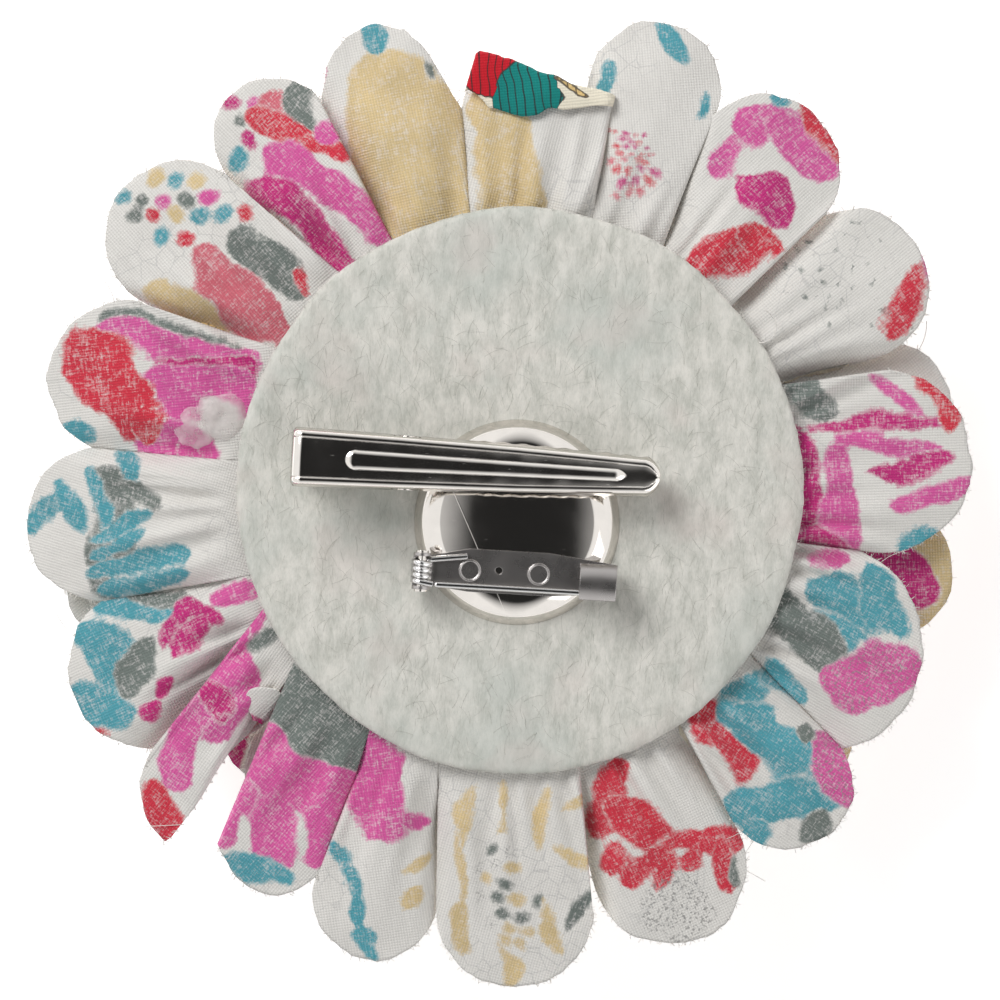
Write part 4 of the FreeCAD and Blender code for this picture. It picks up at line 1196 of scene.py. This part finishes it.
def arm_section(x, middle, half, top, foot, t, bite):
    """Points across the arm at one place: up one skirt, over the back, down the other."""
    rib_half = np.interp(t, [0.13, 0.92], [1.1, 0.6])
    ends = float(smooth(t, 0.135, 0.165) * (1 - smooth(t, 0.885, 0.915)))
    reach = math.sqrt(max(ends, 0.0))
    corner = min(0.5, 0.45 * half)
    flare = 0.22 + 0.16 * (1 - bite) * float(smooth(t, 0.5, 0.53))
    side, back = [], []
    for k in range(7):
        share = k / 6
        side.append((half + flare * (1 - share) ** 2 * min(1, half), foot + (top - corner - foot) * share))
    for k in range(1, 6):
        turn = math.pi / 2 * k / 6
        side.append((half - corner + corner * math.cos(turn), top - corner + corner * math.sin(turn)))
    flat = half - corner
    for y in np.linspace(flat, -flat, 41):
        crown = 0.34 * (y / max(half, 0.3)) ** 2 * min(1, half / 2)
        rib = 0.26 * ends * (1 - float(smooth(abs(y), rib_half * reach - 0.42, rib_half * reach)))
        back.append((y, top - crown + rib))
    right = [(-y, z) for y, z in reversed(side)]
    return [(x, middle + y, z) for y, z in side + back + right]


def clip_spring(material):
    """The clip's spring: a copy of the CAD spring's mesh with its own material, in place of the CAD node.
    """
    node = frame["nodes"]["clip_spring"]
    obj = bpy.data.objects.new("clip_spring_wire", node.data.copy())
    bpy.context.scene.collection.objects.link(obj)
    obj.matrix_world = node.matrix_world.copy()
    obj.data.materials.clear()
    obj.data.materials.append(material)
    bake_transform(obj)
    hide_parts("clip_spring")


def high_of(node):
    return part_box(node)[1][2] / MM


def joint_place(name):
    """Where a joint's axis passes, in mm."""
    for joint in frame["record"]["behaviour"]["joints"]:
        if joint["name"] == name:
            return [c / MM for c in joint["pos_m"]]


def rivet_rings(material):
    """The flat heads, with rolled rims, of the two rivets that hold the pin's bar."""
    low, high = (np.array(p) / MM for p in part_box("pin_base_bar"))
    points, faces = [], []
    for share in (0.285, 0.62):
        centre = np.array([low[0] + share * (high[0] - low[0]), -8.75, high_of("metal_pad") + 0.5])
        start = len(points)
        for i in range(40):
            turn = 2 * math.pi * i / 40
            out = np.array([math.cos(turn), math.sin(turn), 0])
            for k in range(10):
                roll = 2 * math.pi * k / 10
                points.append(centre + out * (1.25 + 0.16 * math.cos(roll))
                              + np.array([0, 0, 0.02 + 0.12 * math.sin(roll)]))
        for i in range(40):
            for k in range(10):
                a, b = start + 10 * i, start + 10 * ((i + 1) % 40)
                faces.append((a + k, b + k, b + (k + 1) % 10, a + (k + 1) % 10))
        head = len(points)
        for i in range(40):
            points.append(np.array(points[start + 10 * i + 4]))
        faces.append(tuple(head + i for i in range(40)))
    mesh_object("bar_rivet_heads", points, faces, material)


def hardware():
    bright = (232, 227, 221)
    pad_low, pad_high = (np.array(p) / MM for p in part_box("metal_pad"))
    pad = (pad_low + pad_high) / 2
    dome = (pad[0] + 1.0, pad[1], 0.0075)
    cut = (pad[0] - 8.0, pad[1] + 3.3, 0.447, -0.894)
    nickel = nickel_material("nickel_plate", bright, 0.07, 0.12)
    dress("metal_pad", nickel_material("nickel_pad", bright, 0.06, 0.12, 0.02, dome, cut))
    clip_arm(nickel_material("nickel_arm", bright, 0.07, 0.10, 0.10))
    dress("clip_lower_jaw", nickel)
    bar = nickel_material("nickel_bar", (176, 172, 170), 0.26, 0.15, 0.30)
    dress("pin_base_bar", bar)
    rivet_rings(bar)
    for node in ("pin_hinge_rivet", "clip_hinge_pin"):
        dress(node, nickel)
    steel = nickel_material("steel_wire", (214, 213, 212), 0.12, 0.10)
    for node in ("pin_spring_coil", "pin_stem"):
        dress(node, steel)
    clip_spring(steel)
    dress("cushion_card", speckled_material("grey_card", (186, 176, 158), 0.9, 2.5))
    dress("glue_pad", speckled_material("set_glue", (214, 208, 190), 0.35, 1.2))


# ---- stage ----
def light(name, kind, place, aim, size, energy, colour=(1, 1, 1)):
    data = bpy.data.lights.new(name, kind)
    data.energy = energy
    data.color = colour
    if kind == "AREA":
        data.size = size
    obj = bpy.data.objects.new(name, data)
    obj.location = place
    obj.rotation_euler = (Vector(aim) - Vector(place)).to_track_quat("-Z", "Y").to_euler()
    bpy.context.scene.collection.objects.link(obj)


def studio():
    """White sweep under soft light, darker straight overhead where the camera stands."""
    world = bpy.data.worlds.new("studio")
    bpy.context.scene.world = world
    world.use_nodes = True
    tree = world.node_tree
    tree.nodes.clear()
    coord = tree.nodes.new("ShaderNodeTexCoord")
    flat = tree.nodes.new("ShaderNodeVectorMath")
    flat.operation = "MULTIPLY"
    flat.inputs[1].default_value = (1.0, 0.40, 0.0)
    tree.links.new(coord.outputs["Generated"], flat.inputs[0])
    off_axis = tree.nodes.new("ShaderNodeVectorMath")
    off_axis.operation = "LENGTH"
    tree.links.new(flat.outputs[0], off_axis.inputs[0])
    fade = tree.nodes.new("ShaderNodeMapRange")
    fade.inputs[1].default_value = 0.20
    fade.inputs[2].default_value = 0.40
    fade.inputs[3].default_value = 0.02
    fade.inputs[4].default_value = 1.0
    tree.links.new(off_axis.outputs["Value"], fade.inputs[0])
    path = tree.nodes.new("ShaderNodeLightPath")
    strength = tree.nodes.new("ShaderNodeMapRange")
    strength.inputs[3].default_value = 0.50
    strength.inputs[4].default_value = 1.05
    seen = tree.nodes.new("ShaderNodeMath")
    seen.operation = "MAXIMUM"
    tree.links.new(path.outputs["Is Glossy Ray"], seen.inputs[0])
    tree.links.new(path.outputs["Is Camera Ray"], seen.inputs[1])
    tree.links.new(seen.outputs[0], strength.inputs[0])
    both = tree.nodes.new("ShaderNodeMath")
    both.operation = "MULTIPLY"
    tree.links.new(fade.outputs[0], both.inputs[0])
    tree.links.new(strength.outputs[0], both.inputs[1])
    sky = tree.nodes.new("ShaderNodeBackground")
    sky.inputs[0].default_value = (1, 1, 1, 1)
    tree.links.new(both.outputs[0], sky.inputs[1])
    out = tree.nodes.new("ShaderNodeOutputWorld")
    tree.links.new(sky.outputs[0], out.inputs[0])
    light("key", "AREA", (-0.55, 0.55, 0.75), (0, 0, 0.02), 0.5, 7.5)
    light("fill", "AREA", (0.7, -0.5, 0.6), (0, 0, 0.02), 0.8, 2.4)


def floor():
    g = Graph("white_sweep")
    place = g.place()
    tone = g.mix(g.ramp(g.noise(place, 0.01), 0.4, 0.6), (0.93, 0.93, 0.93, 1), (0.95, 0.95, 0.95, 1))
    material = g.surface(Base_Color=tone, Roughness=0.9, Emission_Color=(1, 1, 1, 1),
                         Emission_Strength=0.55)
    mesh = bpy.data.meshes.new("floor")
    edge = 3.0
    corners = [(-edge, -edge, 0), (edge, -edge, 0), (edge, edge, 0), (-edge, edge, 0)]
    mesh.from_pydata(corners, [], [(0, 1, 2, 3)])
    mesh.materials.append(material)
    obj = bpy.data.objects.new("floor", mesh)
    bpy.context.scene.collection.objects.link(obj)


def camera():
    """Straight down on the flower's back, turned so the clip tilts as it does in use."""
    data = bpy.data.cameras.new("camera")
    data.sensor_width = 36
    distance = 0.8
    data.lens = 36 * distance / 0.124
    data.clip_start = 0.05
    obj = bpy.data.objects.new("camera", data)
    obj.location = (0.25 * MM, 0.12 * MM, 0.025 + distance)
    obj.rotation_euler = (0, 0, math.radians(3.3))
    bpy.context.scene.collection.objects.link(obj)
    bpy.context.scene.camera = obj


def main():
    back = cotton_print("cotton_back", BACK_INKS, True)
    front = cotton_print("cotton_front", FRONT_INKS, False)
    white_thread = plain_cloth_material("white_thread", (228, 224, 218), 0.3)
    _, rims = back_petals((back, front))
    frayed_edges("frayed_back", rims, white_thread, 2.6, 0.012)
    for number, cell, amplitude in ((2, 0.9, 1.1), (3, 1.0, 1.2), (4, 1.0, 1.2), (5, 1.0, 1.0)):
        _, lower = lower_layer(number, (back, front), 40 + number, cell, amplitude)
        frayed_edges("frayed_%d" % number, lower, white_thread, 0.5, 0.02)
    loose_thread(white_thread)
    glue_smears(clear_glue_material())
    felt = felt_material()
    felt_fibres(fibre_material(), *felt_disc(felt))
    cushion = plain_cloth_material("cushion_cotton", (196, 52, 110), 0.4)
    padded_cushion(cushion, white_thread)
    gathering_thread(white_thread)
    hardware()
    studio()
    floor()
    camera()
    bpy.context.scene.view_settings.view_transform = "Standard"


main()
